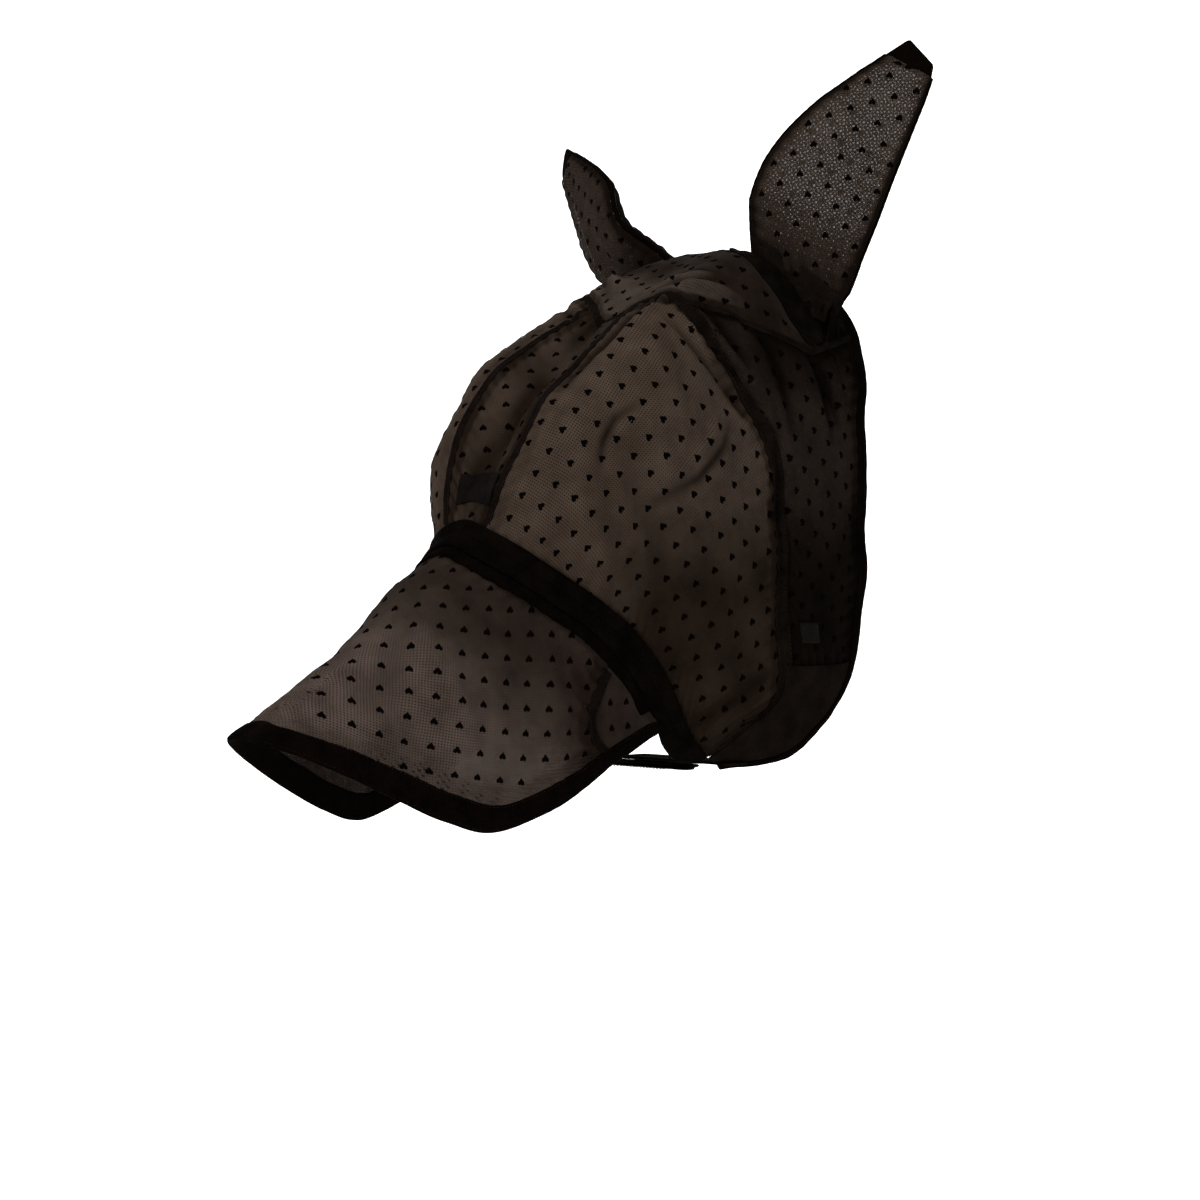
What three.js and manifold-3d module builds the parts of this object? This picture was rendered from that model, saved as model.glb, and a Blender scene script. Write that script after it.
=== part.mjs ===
// Full-size horse fly mask with ear pockets and a nose flap.
// Millimetres. +Z is up, -Y is the way the horse's nose points, +X is the
// horse's left. The origin is the poll seat: the point on top of the horse's
// head, between the ears, that the crown of the mask rests on.
import * as THREE from 'three';
import { mergeVertices } from 'three/addons/utils/BufferGeometryUtils.js';
import Module from 'manifold-3d';

const wasm = await Module();
wasm.setup();

// ---------------------------------------------------------------- dimensions
const PANEL_T = 1.6;          // mesh panel, two layers with their bagged air
const TAPE_IN = 2.1;          // seam tapes lie this far off the panel's inside
const TAPE_OUT = 3.2;
const SEAM_GAP = 1.1;         // each panel stops this far from its seam line
const BAND_HALF = 13;         // nose band, half its 26 mm width
const BAND_OUT = 5.4;         // outside of the nose band's cover
const FLEECE_T = 7;           // fleece under the nose band
const HEM_W = 21;             // binding along the nose flap's free edge
const NECK_W = 11;            // binding along the neck edge
const FLAP_START = 15.9;      // nose flap begins just past the nose band
const FLAP_TAPE_W = 8;        // tape along the flap's sewn edge
const EAR_CLEAR = 17;         // ear sleeve starts this far above its base
const EAR_LEN = 203;          // ear pocket, base to tip
const EAR_TIP = 188;          // solid tip patch from here up
const CUFF_T = 2.2;           // wall of the solid cuff round each ear hole
const STRAP_Z = -387;       // top face of the throat strap
const STRAP_T = 2.4;

// Control nets of the mask's left half: rows run across a seam, columns run
// from the centre line (x = 0) down to the apex under the jaw.
// Face: row 0 is the crown and cheek seam, row 4 the nose band.
const FACE = [
  [[0, -110, -56], [24, -96, -40], [48, -85, -34], [78, -76, -72], [98, -61, -111], [108, -44, -148], [113, -40, -201], [112, -36, -261], [102, -22, -331], [92, -50, -357], [72, -75, -379]],
  [[0, -163, -91], [36, -167, -77], [66, -155, -74], [88, -136, -98], [102, -117, -132], [109, -94, -171], [112, -85, -222], [109, -75, -277], [98, -59, -335], [88, -70, -359], [70, -77, -379]],
  [[0, -208, -131], [36, -212, -116], [64, -204, -121], [84, -181, -137], [96, -159, -164], [102, -132, -198], [104, -117, -242], [101, -100, -290], [92, -80, -340], [84, -82, -361], [68, -80, -379]],
  [[0, -235, -167], [32, -239, -157], [56, -234, -166], [74, -218, -183], [85, -196, -206], [90, -169, -235], [91, -145, -267], [89, -122, -307], [83, -99, -350], [76, -90, -366], [66, -82, -379]],
  [[0, -263, -213], [18, -262, -219], [34, -254, -228], [47, -242, -239], [57, -222, -253], [65, -197, -269], [70, -168, -290], [72, -140, -319], [69, -115, -351], [67, -99, -367], [64, -84, -379]],
];
// Crown and jowl: row 0 is the same seam, row 3 the neck edge.
const REAR = [
  FACE[0],
  [[0, -58, -20], [28, -50, -12], [56, -45, -16], [86, -39, -62], [104, -25, -102], [112, -13, -141], [115, -7, -201], [112, -1, -262], [100, 9, -333], [90, -31, -366], [72, -73, -381]],
  [[0, 2, 5], [30, 6, 5], [62, 10, -8], [90, 13, -55], [105, 21, -93], [112, 28, -136], [115, 29, -201], [111, 34, -264], [98, 39, -333], [88, -12, -374], [72, -69, -383]],
  [[0, 65, 1], [30, 70, -3], [60, 77, -19], [88, 81, -50], [101, 77, -88], [108, 70, -132], [111, 67, -201], [108, 69, -265], [95, 64, -331], [86, 7, -381], [72, -64, -390]],
];
// Nose flap: row 0 is the nose band, row 3 the free hem. Its last two columns
// are where the hem runs back up into the band.
const FLAP_REAR = [
  [[71, -128, -336], [69, -115, -351]],
  [[73, -156, -343], [70, -121, -353]],
  [[74, -173, -360], [70, -125, -356]],
  [[73, -184, -381], [70, -129, -359]],
];
const FLAP = [
  [...FACE[4].slice(0, 8), FLAP_REAR[0][0], FLAP_REAR[0][1]],
  [[0, -330, -263], [17, -330, -268], [34, -322, -276], [49, -308, -285], [59, -286, -298], [67, -259, -312], [72, -227, -326], [75, -195, -337], FLAP_REAR[1][0], FLAP_REAR[1][1]],
  [[0, -395, -310], [17, -398, -314], [33, -386, -321], [47, -366, -331], [57, -340, -343], [65, -307, -356], [71, -270, -368], [76, -224, -367], FLAP_REAR[2][0], FLAP_REAR[2][1]],
  [[0, -466, -348], [15, -468, -350], [32, -447, -360], [45, -416, -374], [55, -379, -392], [62, -339, -410], [68, -296, -420], [75, -236, -405], FLAP_REAR[3][0], FLAP_REAR[3][1]],
];

// Outline of one ear pocket in its own plane: height, inner edge, outer edge,
// and how far each face bows out of that plane.
const EAR = [
  [-10, -38, 35, 12], [0, -40, 34, 12.5], [16, -50, 37, 14], [42, -65, 33.6, 14.5],
  [75, -69, 30.4, 13.5], [106, -63.5, 26.4, 11.5], [139, -51, 23, 9],
  [171, -33.5, 19.8, 6], [188, -23.5, 17.2, 4.2], [203, -12.6, 13.8, 3],
];
const EAR_L = {
  O: [67, 39, -22], X: [0.7517, 0.4510, -0.4811], Z: [0.4414, 0.1877, 0.8774],
};
// The right ear pocket has slumped: its middle line leaves the cuff outward
// and then bends up, so its sleeve starts higher on the outer side.
const EAR_R_LOW = [-0.967, -0.2537, 0.0252];
const EAR_R_HIGH = [-0.5998, 0.228, 0.767];
const EAR_R_BEND = 120;       // the bend is spread over this much of its length
const EAR_R_RISE = 0.6;

// ------------------------------------------------------------------- helpers
const V = (a) => new THREE.Vector3(a[0], a[1], a[2]);
function cubic(p0, p1, p2, p3, f) {
  const o = new THREE.Vector3();
  for (const k of ['x', 'y', 'z']) {
    o[k] = 0.5 * (2 * p1[k] + (p2[k] - p0[k]) * f
      + (2 * p0[k] - 5 * p1[k] + 4 * p2[k] - p3[k]) * f * f
      + (3 * p1[k] - p0[k] - 3 * p2[k] + p3[k]) * f * f * f);
  }
  return o;
}
const past = (a, b) => a.clone().multiplyScalar(2).sub(b);
function along(pts, t, mirrorStart) {
  const n = pts.length;
  const i = Math.min(Math.max(Math.floor(t), 0), n - 2);
  const first = mirrorStart ? new THREE.Vector3(-pts[1].x, pts[1].y, pts[1].z)
    : past(pts[0], pts[1]);
  const at = (j) => (j < 0 ? first : j >= n ? past(pts[n - 1], pts[n - 2]) : pts[j]);
  return cubic(at(i - 1), at(i), at(i + 1), at(i + 2), t - i);
}
class Net {
  constructor(rows, sign) {
    this.rows = rows.map((r) => r.map(V));
    this.R = rows.length - 1;
    this.C = rows[0].length - 1;
    this.sign = sign;
    this.cache = new Map();
  }
  // Point at row r, column c; a negative column is the right half.
  p(r, c) {
    const a = Math.abs(c);
    const cols = this.rows.map((row) => along(row, a, true));
    const q = along(cols, r, false);
    if (c < 0) q.x = -q.x;
    return q;
  }
  n(r, c) {
    const e = 0.03;
    const dr = this.p(r + e, c).sub(this.p(r - e, c));
    const dc = this.p(r, c + e).sub(this.p(r, c - e));
    return dr.cross(dc).normalize().multiplyScalar(this.sign);
  }
  table(c) {
    const key = Math.abs(c).toFixed(5);
    if (!this.cache.has(key)) {
      const N = 72, acc = [0];
      let prev = this.p(0, Math.abs(c));
      for (let i = 1; i <= N; i++) {
        const q = this.p(i / N * this.R, Math.abs(c));
        acc.push(acc[i - 1] + q.distanceTo(prev));
        prev = q;
      }
      this.cache.set(key, acc);
    }
    return this.cache.get(key);
  }
  len(c) { const t = this.table(c); return t[t.length - 1]; }
  // Row at arc length s from row 0 along column c.
  row(c, s) {
    const t = this.table(c), N = t.length - 1;
    if (s <= 0) return s / (t[1] / (this.R / N));
    for (let i = 1; i <= N; i++) {
      if (s <= t[i]) return ((i - 1) + (s - t[i - 1]) / (t[i] - t[i - 1])) / N * this.R;
    }
    return this.R + (s - t[N]) / ((t[N] - t[N - 1]) / (this.R / N));
  }
  at(c, s) { const r = this.row(c, s); return { p: this.p(r, c), n: this.n(r, c) }; }
  dc(r, c) { return this.p(r, c + 0.05).distanceTo(this.p(r, c - 0.05)) / 0.1; }
}
const face = new Net(FACE, 1);
const rear = new Net(REAR, -1);
const flap = new Net(FLAP, 1);

function volume(pos, idx) {
  let v = 0;
  const a = new THREE.Vector3(), b = new THREE.Vector3(), c = new THREE.Vector3();
  for (let i = 0; i < idx.length; i += 3) {
    a.fromArray(pos, idx[i] * 3); b.fromArray(pos, idx[i + 1] * 3); c.fromArray(pos, idx[i + 2] * 3);
    v += a.dot(b.clone().cross(c)) / 6;
  }
  return v;
}
function solid(pos, idx) {
  if (volume(pos, idx) < 0) for (let i = 0; i < idx.length; i += 3) [idx[i], idx[i + 1]] = [idx[i + 1], idx[i]];
  const g = new THREE.BufferGeometry();
  g.setAttribute('position', new THREE.Float32BufferAttribute(pos, 3));
  g.setIndex(idx);
  return g;
}
// Closed thin sheet over a grid of {p, n}, from offset a to offset b.
function shell(fn, nu, nv, a, b) {
  const pos = [], idx = [];
  const W = nv + 1, H = nu + 1;
  const off = (o, i, j) => (typeof o === 'function' ? o(i / nu, j / nv) : o);
  for (const o of [b, a]) {
    for (let i = 0; i < H; i++) {
      for (let j = 0; j < W; j++) {
        const q = fn(i / nu, j / nv);
        const r = q.p.clone().addScaledVector(q.n, off(o, i, j));
        pos.push(r.x, r.y, r.z);
      }
    }
  }
  const A = (i, j) => i * W + j, B = (i, j) => H * W + i * W + j;
  const quad = (p, q, r, s) => idx.push(p, q, r, p, r, s);
  for (let i = 0; i < nu; i++) {
    for (let j = 0; j < nv; j++) {
      quad(A(i, j), A(i + 1, j), A(i + 1, j + 1), A(i, j + 1));
      quad(B(i, j), B(i, j + 1), B(i + 1, j + 1), B(i + 1, j));
    }
    quad(A(i, 0), B(i, 0), B(i + 1, 0), A(i + 1, 0));
    quad(A(i, nv), A(i + 1, nv), B(i + 1, nv), B(i, nv));
  }
  for (let j = 0; j < nv; j++) {
    quad(A(0, j), A(0, j + 1), B(0, j + 1), B(0, j));
    quad(A(nu, j), B(nu, j), B(nu, j + 1), A(nu, j + 1));
  }
  return solid(pos, idx);
}
const lerp = THREE.MathUtils.lerp;
const mask = new THREE.Group();
const seen = {};
function add(name, geometry, colour, roughness = 0.9) {
  const m = new THREE.Mesh(geometry, new THREE.MeshStandardMaterial({ color: colour, roughness, metalness: 0 }));
  m.name = name;
  mask.add(m);
  seen[name] = m;
  return m;
}
const MESH = 0x2f2721, SOLID = 0x0d0a08, TAPE = 0x120d0b, FLEECE = 0x0b0807, LABEL = 0x15110f;
const SIDES = [['left', 1], ['right', -1]];

// Column where the crown panel meets the jowl panel, along the rows.
const SPLIT = [2.15, 2.8, 3.45, 3.2];
function split(r) {
  const i = Math.min(Math.max(Math.floor(r), 0), 2), f = r - i;
  const g = (j) => SPLIT[Math.min(Math.max(j, 0), 3)];
  const s = f * f * (3 - 2 * f) * 0.35 + f * 0.65;
  return lerp(g(i), g(i + 1), s);
}

// ------------------------------------------------------------- mesh of a face
const edgeGap = (net, r, c) => SEAM_GAP / net.dc(r, c);
add('forehead_panel', shell((u, v) => {
  const side = lerp(-1, 1, u);
  const s = lerp(SEAM_GAP, face.len(1) - 0.6, v);
  const r = face.row(Math.min(Math.abs(side), 1), lerp(SEAM_GAP, face.len(Math.abs(side)) - 0.6, v));
  const c = side * (1 - edgeGap(face, r, 1));
  return { p: face.p(r, c), n: face.n(r, c) };
}, 8, 9, 0, PANEL_T), MESH);

for (const [name, k] of SIDES) {
  add(`cheek_panel_${name}`, shell((u, v) => {
    let c = lerp(1, 9.3, u);
    const s = lerp(SEAM_GAP, face.len(c) - 0.6, v);
    const r = face.row(c, s);
    if (u === 0) c += edgeGap(face, r, 1);
    return { p: face.p(r, c * k), n: face.n(r, c * k) };
  }, 16, 9, 0, PANEL_T), MESH);
}

// ----------------------------------------------------------- ears' local frame
function earFrame(k) {
  const X = V(EAR_L.X), Z = V(EAR_L.Z), O = V(EAR_L.O);
  const Y = Z.clone().cross(X);
  if (k > 0) return { O, X, Y, Z };
  for (const w of [O, X, Y, Z]) w.x = -w.x;
  return { O, X, Y, Z };
}
// Frame of a sleeve at height t along its middle line.
const slump = (() => {
  const f = earFrame(-1);
  const lo = V(EAR_R_LOW).normalize(), hi = V(EAR_R_HIGH).normalize();
  const P = f.O.clone().addScaledVector(f.Z, 22).addScaledVector(lo, -14);
  const out = [];
  for (let t = 0; t <= EAR_LEN + 20; t++) {
    const s = Math.min(1, t / EAR_R_BEND), e = s * s * (3 - 2 * s);
    const Z = lo.clone().lerp(hi, e).normalize();
    if (t > 0) P.add(Z);
    const X = f.X.clone().addScaledVector(Z, -f.X.dot(Z)).normalize();
    out.push({ O: P.clone(), X, Y: X.clone().cross(Z), Z });
  }
  return out;
})();
function sleeve(k, t) {
  if (k > 0) {
    const f = earFrame(1);
    return { ...f, O: f.O.clone().addScaledVector(f.Z, t) };
  }
  const i = Math.min(Math.max(Math.floor(t), 0), slump.length - 2), a = slump[i], b = slump[i + 1];
  const mix = (w) => a[w].clone().lerp(b[w], t - i);
  return { O: mix('O'), X: mix('X').normalize(), Y: mix('Y').normalize(), Z: mix('Z').normalize() };
}
function earRow(t) {
  let i = 0;
  while (i < EAR.length - 2 && t > EAR[i + 1][0]) i++;
  const g = (j) => EAR[Math.min(Math.max(j, 0), EAR.length - 1)];
  const f = (t - EAR[i][0]) / (EAR[i + 1][0] - EAR[i][0]);
  const out = [];
  for (let m = 1; m < 4; m++) {
    const [a, b, c, d] = [g(i - 1)[m], g(i)[m], g(i + 1)[m], g(i + 2)[m]];
    out.push(lerp(b, c, f) + 0.1 * (f * (1 - f)) * ((b - a) - (d - c)) * 2);
  }
  return { a: out[0], b: out[1], bow: out[2] };
}
const place = (f, x, y, z) => f.O.clone().addScaledVector(f.X, x).addScaledVector(f.Y, y).addScaledVector(f.Z, z);

// ---------------------------------------------------------------- crown panel
function toManifold(g) {
  const h = g.clone();
  h.deleteAttribute('normal'); h.deleteAttribute('uv');
  const m = mergeVertices(h, 1e-4);
  return new wasm.Manifold(new wasm.Mesh({
    numProp: 3,
    vertProperties: new Float32Array(m.attributes.position.array),
    triVerts: new Uint32Array(m.index.array),
  }));
}
function fromManifold(s) {
  const m = s.getMesh();
  const g = new THREE.BufferGeometry();
  g.setAttribute('position', new THREE.Float32BufferAttribute(Array.from(m.vertProperties), 3));
  g.setIndex(Array.from(m.triVerts));
  return g;
}
// Lens-shaped column about an ear's base, grown by `grow`, from z0 to z1.
const LENS_N = 24;
function lensPoint(f, a, z, grow) {
  const q = earRow(0);
  const mid = (q.a + q.b) / 2, hx = (q.b - q.a) / 2 + grow, hy = q.bow + grow;
  return place(f, mid + hx * Math.cos(a), hy * Math.sin(a), z);
}
function lensColumn(f, z0, z1, grow) {
  const pos = [], idx = [];
  for (const z of [z0, z1]) {
    for (let i = 0; i < LENS_N; i++) {
      const p = lensPoint(f, i / LENS_N * Math.PI * 2, z, grow);
      pos.push(p.x, p.y, p.z);
    }
  }
  for (let i = 0; i < LENS_N; i++) {
    const j = (i + 1) % LENS_N;
    idx.push(i, j, LENS_N + j, i, LENS_N + j, LENS_N + i);
    if (i > 0 && i < LENS_N - 1) {
      idx.push(0, i + 1, i);
      idx.push(LENS_N, LENS_N + i, LENS_N + i + 1);
    }
  }
  return solid(pos, idx);
}
const seamRow = (v) => rear.row(3, lerp(SEAM_GAP, rear.len(3) - NECK_W - 0.6, v));
let crown = toManifold(shell((u, v) => {
  const side = lerp(-1, 1, u);
  const cRef = Math.abs(side) * 3;
  const r = lerp(rear.row(cRef, lerp(SEAM_GAP, rear.len(cRef) - NECK_W - 0.6, v)), seamRow(v), Math.abs(side));
  const edge = split(r);
  const c = side * (edge - edgeGap(rear, r, edge));
  return { p: rear.p(r, c), n: rear.n(r, c) };
}, 20, 8, 0, PANEL_T));
for (const [, k] of SIDES) {
  crown = crown.subtract(toManifold(lensColumn(earFrame(k), -40, 60, 0.4)));
}
add('crown_panel', fromManifold(crown), 0x2a231e);

// Solid cuff sewn round each ear hole.
for (const [name, k] of SIDES) {
  const f = earFrame(k);
  const pos = [], idx = [];
  const loops = [[-9, 0], [9, 0], [9, -CUFF_T], [-9, -CUFF_T]];
  for (const [z, g] of loops) {
    for (let i = 0; i < LENS_N; i++) {
      const p = lensPoint(f, i / LENS_N * Math.PI * 2, z, g);
      pos.push(p.x, p.y, p.z);
    }
  }
  for (let l = 0; l < 4; l++) {
    const m = (l + 1) % 4;
    for (let i = 0; i < LENS_N; i++) {
      const j = (i + 1) % LENS_N;
      idx.push(l * LENS_N + i, l * LENS_N + j, m * LENS_N + j);
      idx.push(l * LENS_N + i, m * LENS_N + j, m * LENS_N + i);
    }
  }
  add(`ear_cuff_${name}`, solid(pos, idx), SOLID);
}

// ---------------------------------------------------------------- jowl panels
const PAD_C = 7.72;           // column where the plain closure panel begins
for (const [name, k] of SIDES) {
  add(`jowl_panel_${name}`, shell((u, v) => {
    const r0 = seamRow(v);
    const top = split(r0) + edgeGap(rear, r0, split(r0));
    const c = lerp(top, PAD_C - 0.02, u);
    const s = lerp(SEAM_GAP, rear.len(c) - NECK_W - 0.6, v);
    const r = Math.min(lerp(r0, rear.row(c, s), Math.min(1, u * 3)), rear.row(c, rear.len(c) - NECK_W - 0.6));
    return { p: rear.p(r, c * k), n: rear.n(r, c * k) };
  }, 12, 8, 0, PANEL_T), MESH);
  add(`closure_panel_${name}`, shell((u, v) => {
    const c = lerp(PAD_C, 8.95, u);
    const s = lerp(SEAM_GAP, rear.len(c) - NECK_W - 1.6, v);
    const r = rear.row(c, s);
    return { p: rear.p(r, c * k), n: rear.n(r, c * k) };
  }, 6, 4, 0, PANEL_T + 0.3), SOLID);
}

// ---------------------------------------------------------------- seam tapes
function seamTape(c0, c1, k, n, half, out = TAPE_OUT, inner = TAPE_IN) {
  return shell((u, v) => {
    const c = lerp(c0, c1, u) * k;
    const w = (v - 0.5) * 2 * half;
    const r = w < 0 ? face.row(c, -w) : rear.row(c, w);
    if (Math.abs(w) < 1e-6) return { p: face.p(0, c), n: face.n(0, c).add(rear.n(0, c)).normalize() };
    const net = w < 0 ? face : rear;
    const q = net.p(r, c);
    const nn = net.n(r, c).lerp(face.n(0, c).add(rear.n(0, c)).normalize(), 0.35).normalize();
    return { p: q, n: nn };
  }, n, 4, inner, out);
}
add('crown_seam_tape', seamTape(-2.02, 2.02, 1, 14, 4, TAPE_OUT, TAPE_IN + 0.3), TAPE);
for (const [name, k] of SIDES) {
  add(`eye_dart_tape_${name}`, seamTape(2.28, 4.45, k, 8, 6), TAPE);
  add(`cheek_seam_tape_${name}`, seamTape(4.5, 9.5, k, 16, 6.5), TAPE);
  add(`jowl_seam_tape_${name}`, shell((u, v) => {
    const r = rear.row(2.6, lerp(7.5, rear.len(2.6) - NECK_W - 1.4, u));
    const m = split(r);
    const c = m + (v - 0.5) * 9 / rear.dc(r, m);
    return { p: rear.p(r, c * k), n: rear.n(r, c * k) };
  }, 10, 2, TAPE_IN, TAPE_OUT), TAPE);
  add(`forehead_seam_tape_${name}`, shell((u, v) => {
    const r = face.row(1, lerp(6, face.len(1) - BAND_HALF - 3, u));
    const c = 1 + (v - 0.5) * 7 / face.dc(r, 1);
    return { p: face.p(r, c * k), n: face.n(r, c * k) };
  }, 14, 2, TAPE_IN, TAPE_OUT - 0.2), TAPE);
}

// --------------------------------------------------------------- neck binding
function edgeStrip(net, c0, c1, k, n, s0, s1, a, b, m = 2) {
  return shell((u, v) => {
    const c = lerp(c0, c1, u) * k;
    const L = net.len(c);
    return net.at(c, lerp(s0(L), s1(L), v));
  }, n, m, a, b);
}
add('poll_edge_binding', edgeStrip(rear, -3.08, 3.08, 1, 20, (L) => L - NECK_W, (L) => L, -1.6, 3.0), SOLID);
for (const [name, k] of SIDES) {
  add(`neck_edge_binding_${name}`, edgeStrip(rear, 3.12, 9.8, k, 26, (L) => L - NECK_W, (L) => L, -1.6, 3.2), SOLID);
}

// ------------------------------------------------------------------ nose band
function bandShell(a, b, half, n, cEnd) {
  return shell((u, v) => {
    const c = lerp(-cEnd, cEnd, u);
    const w = (v - 0.5) * 2 * half;
    const L = face.len(c);
    const q = w < 0 ? face.at(c, L + w) : flap.at(c, w);
    const n0 = face.n(4, c).add(flap.n(0, c)).normalize();
    const nn = q.n.lerp(n0, Math.abs(w) < 1e-6 ? 1 : 0.6).normalize();
    return { p: q.p, n: nn };
  }, n, 4, a, b);
}
const crownOf = (lo, hi) => (u, v) => lerp(lo, hi, Math.sqrt(Math.max(0, 1 - Math.pow(2 * v - 1, 2))));
add('nose_band_cover', bandShell(TAPE_IN + 0.7, crownOf(4, BAND_OUT + 0.4), BAND_HALF, 32, 9.15), SOLID);
add('nose_band_fleece', bandShell(crownOf(-3.6, -FLEECE_T), -1.0, BAND_HALF - 0.6, 32, 8.6), FLEECE);

// ------------------------------------------------------------------ nose flap
const DART = [6.1, 7.8];       // columns of the side dart, at the band and at the hem
const FLAP_END = 8.2;
const dartCol = (t) => lerp(DART[0], DART[1], t);
const flapIn = (c, t) => lerp(FLAP_START, flap.len(c) - HEM_W - 0.9, t);
add('flap_panel', shell((u, v) => {
  const c = lerp(-1, 1, u) * (dartCol(v) - 0.025);
  return flap.at(c, flapIn(c, v));
}, 28, 6, 0, PANEL_T), MESH);
for (const [name, k] of SIDES) {
  add(`flap_gusset_${name}`, shell((u, v) => {
    const c = lerp(dartCol(v) + 0.025, FLAP_END, u) * k;
    return flap.at(c, flapIn(c, v));
  }, 5, 6, 0, PANEL_T), MESH);
  add(`flap_dart_tape_${name}`, shell((u, v) => {
    const t = lerp(0.2, 0.93, u), c0 = dartCol(t);
    const r = flap.row(c0, flapIn(c0, t));
    const c = c0 + (v - 0.5) * 9 / flap.dc(r, c0);
    return { p: flap.p(r, c * k), n: flap.n(r, c * k) };
  }, 8, 2, TAPE_IN, TAPE_OUT), TAPE);
}
add('flap_top_binding', edgeStrip(flap, -FLAP_END, FLAP_END, 1, 30, () => FLAP_START, () => FLAP_START + FLAP_TAPE_W, TAPE_IN + 0.2, 4.2), SOLID);
add('flap_hem_binding', edgeStrip(flap, -8.4, 8.4, 1, 36, (L) => L - HEM_W, (L) => L, -1.4, 3.0), SOLID);

// ----------------------------------------------------------------- ear pockets
for (const [name, k] of SIDES) {
  const faceOf = (sign, edge) => (u, v) => {
    const rise = k > 0 ? 0 : EAR_R_RISE * 38 * Math.max(0, 2 * v - 1);
    const t = lerp(EAR_CLEAR + rise, EAR_TIP - 0.6, u);
    const q = earRow(t);
    const w = lerp(-1, 1, v) * (1 - edge * 2 / (q.b - q.a));
    const mid = (q.a + q.b) / 2, hw = (q.b - q.a) / 2;
    const h = sign * q.bow * Math.sqrt(Math.max(0, 1 - w * w)) + sign * 0.7;
    const f = sleeve(k, t);
    const p = place(f, mid + hw * w, h, 0);
    return { p, n: f.Y.clone().multiplyScalar(sign).addScaledVector(f.X, w * 0.25 * (q.bow / hw)).normalize() };
  };
  add(`ear_${name}_front`, shell(faceOf(-1, 3.2), 10, 6, 0, PANEL_T - 0.4), 0x3a312b);
  add(`ear_${name}_back`, shell(faceOf(1, 3.2), 10, 6, 0, PANEL_T - 0.4), 0x3a312b);
  // Piping down each sewn edge: a round-cornered section run along the edge.
  const piping = (which, r) => {
    const N = 16, M = 6, pos = [], idx = [];
    const rise = k > 0 || which < 0 ? 0 : EAR_R_RISE * 38;
    for (let i = 0; i <= N; i++) {
      const t = lerp(EAR_CLEAR + rise, EAR_TIP - 0.6, i / N);
      const q = earRow(t), f = sleeve(k, t);
      const x = which < 0 ? q.a + r * 0.2 : q.b - r * 0.2;
      for (let j = 0; j < M; j++) {
        const a = (j + 0.5) / M * Math.PI * 2;
        const p = place(f, x + r * Math.cos(a) * 0.9, r * Math.sin(a), 0);
        pos.push(p.x, p.y, p.z);
      }
    }
    for (let i = 0; i < N; i++) {
      for (let j = 0; j < M; j++) {
        const j2 = (j + 1) % M;
        idx.push(i * M + j, i * M + j2, (i + 1) * M + j2, i * M + j, (i + 1) * M + j2, (i + 1) * M + j);
      }
    }
    for (let j = 1; j < M - 1; j++) {
      idx.push(0, j + 1, j);
      idx.push(N * M, N * M + j, N * M + j + 1);
    }
    return solid(pos, idx);
  };
  add(`ear_${name}_inner_piping`, piping(-1, 2.3), SOLID);
  add(`ear_${name}_outer_seam`, piping(1, 2.0), SOLID);
  // Reinforcement sewn over the tip.
  const N = 4, M = 14, pos = [], idx = [];
  for (let i = 0; i <= N; i++) {
    const q = earRow(lerp(EAR_TIP, EAR_LEN, i / N));
    const mid = (q.a + q.b) / 2, hw = (q.b - q.a) / 2, bow = Math.max(q.bow, 2.2);
    for (let j = 0; j < M; j++) {
      const a = j / M * Math.PI * 2;
      const lean = (mid + hw * Math.cos(a)) * -0.35 * (i / N);
      const f = sleeve(k, lerp(EAR_TIP, EAR_LEN, i / N));
      const p = place(f, mid + hw * Math.cos(a), bow * Math.sin(a), lean);
      pos.push(p.x, p.y, p.z);
    }
  }
  for (let i = 0; i < N; i++) {
    for (let j = 0; j < M; j++) {
      const j2 = (j + 1) % M;
      idx.push(i * M + j, i * M + j2, (i + 1) * M + j2, i * M + j, (i + 1) * M + j2, (i + 1) * M + j);
    }
  }
  for (let j = 1; j < M - 1; j++) {
    idx.push(0, j + 1, j);
    idx.push(N * M, N * M + j, N * M + j + 1);
  }
  add(`ear_${name}_tip_patch`, solid(pos, idx), SOLID);
}

// ------------------------------------------------------------ throat closure
// Rounded-end flat strip in the X-Y plane.
function flatStrip(x0, x1, y0, y1, z0, z1, r) {
  const s = new THREE.Shape();
  s.moveTo(x0, y0); s.lineTo(x1 - r, y0);
  s.absarc(x1 - r, y0 + r, r, -Math.PI / 2, 0, false);
  s.lineTo(x1, y1 - r);
  s.absarc(x1 - r, y1 - r, r, 0, Math.PI / 2, false);
  s.lineTo(x0, y1); s.closePath();
  const g = new THREE.ExtrudeGeometry(s, { depth: z1 - z0, bevelEnabled: false, curveSegments: 5 });
  g.translate(0, 0, z0);
  return g;
}
const TOP = STRAP_Z;
add('closure_tongue', flatStrip(-64, 18, -78, -42, TOP + 2.0, TOP + 4.2, 6).rotateZ(Math.PI).translate(0, -120, 0), SOLID);
add('loop_patch', flatStrip(-4, 36, -76, -44, TOP + 0.6, TOP + 1.7, 4), 0x1a1512);
add('throat_strap', flatStrip(-64, 40, -79, -41, TOP - 3.6, TOP - 1.2, 8), SOLID);
add('hook_patch', flatStrip(-4, 36, -76, -44, TOP - 0.9, TOP + 0.3, 4), 0x1a1512);
add('strap_pull_tab', flatStrip(40.4, 53, -78, -64, TOP - 3.4, TOP - 1.4, 4), SOLID);

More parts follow.
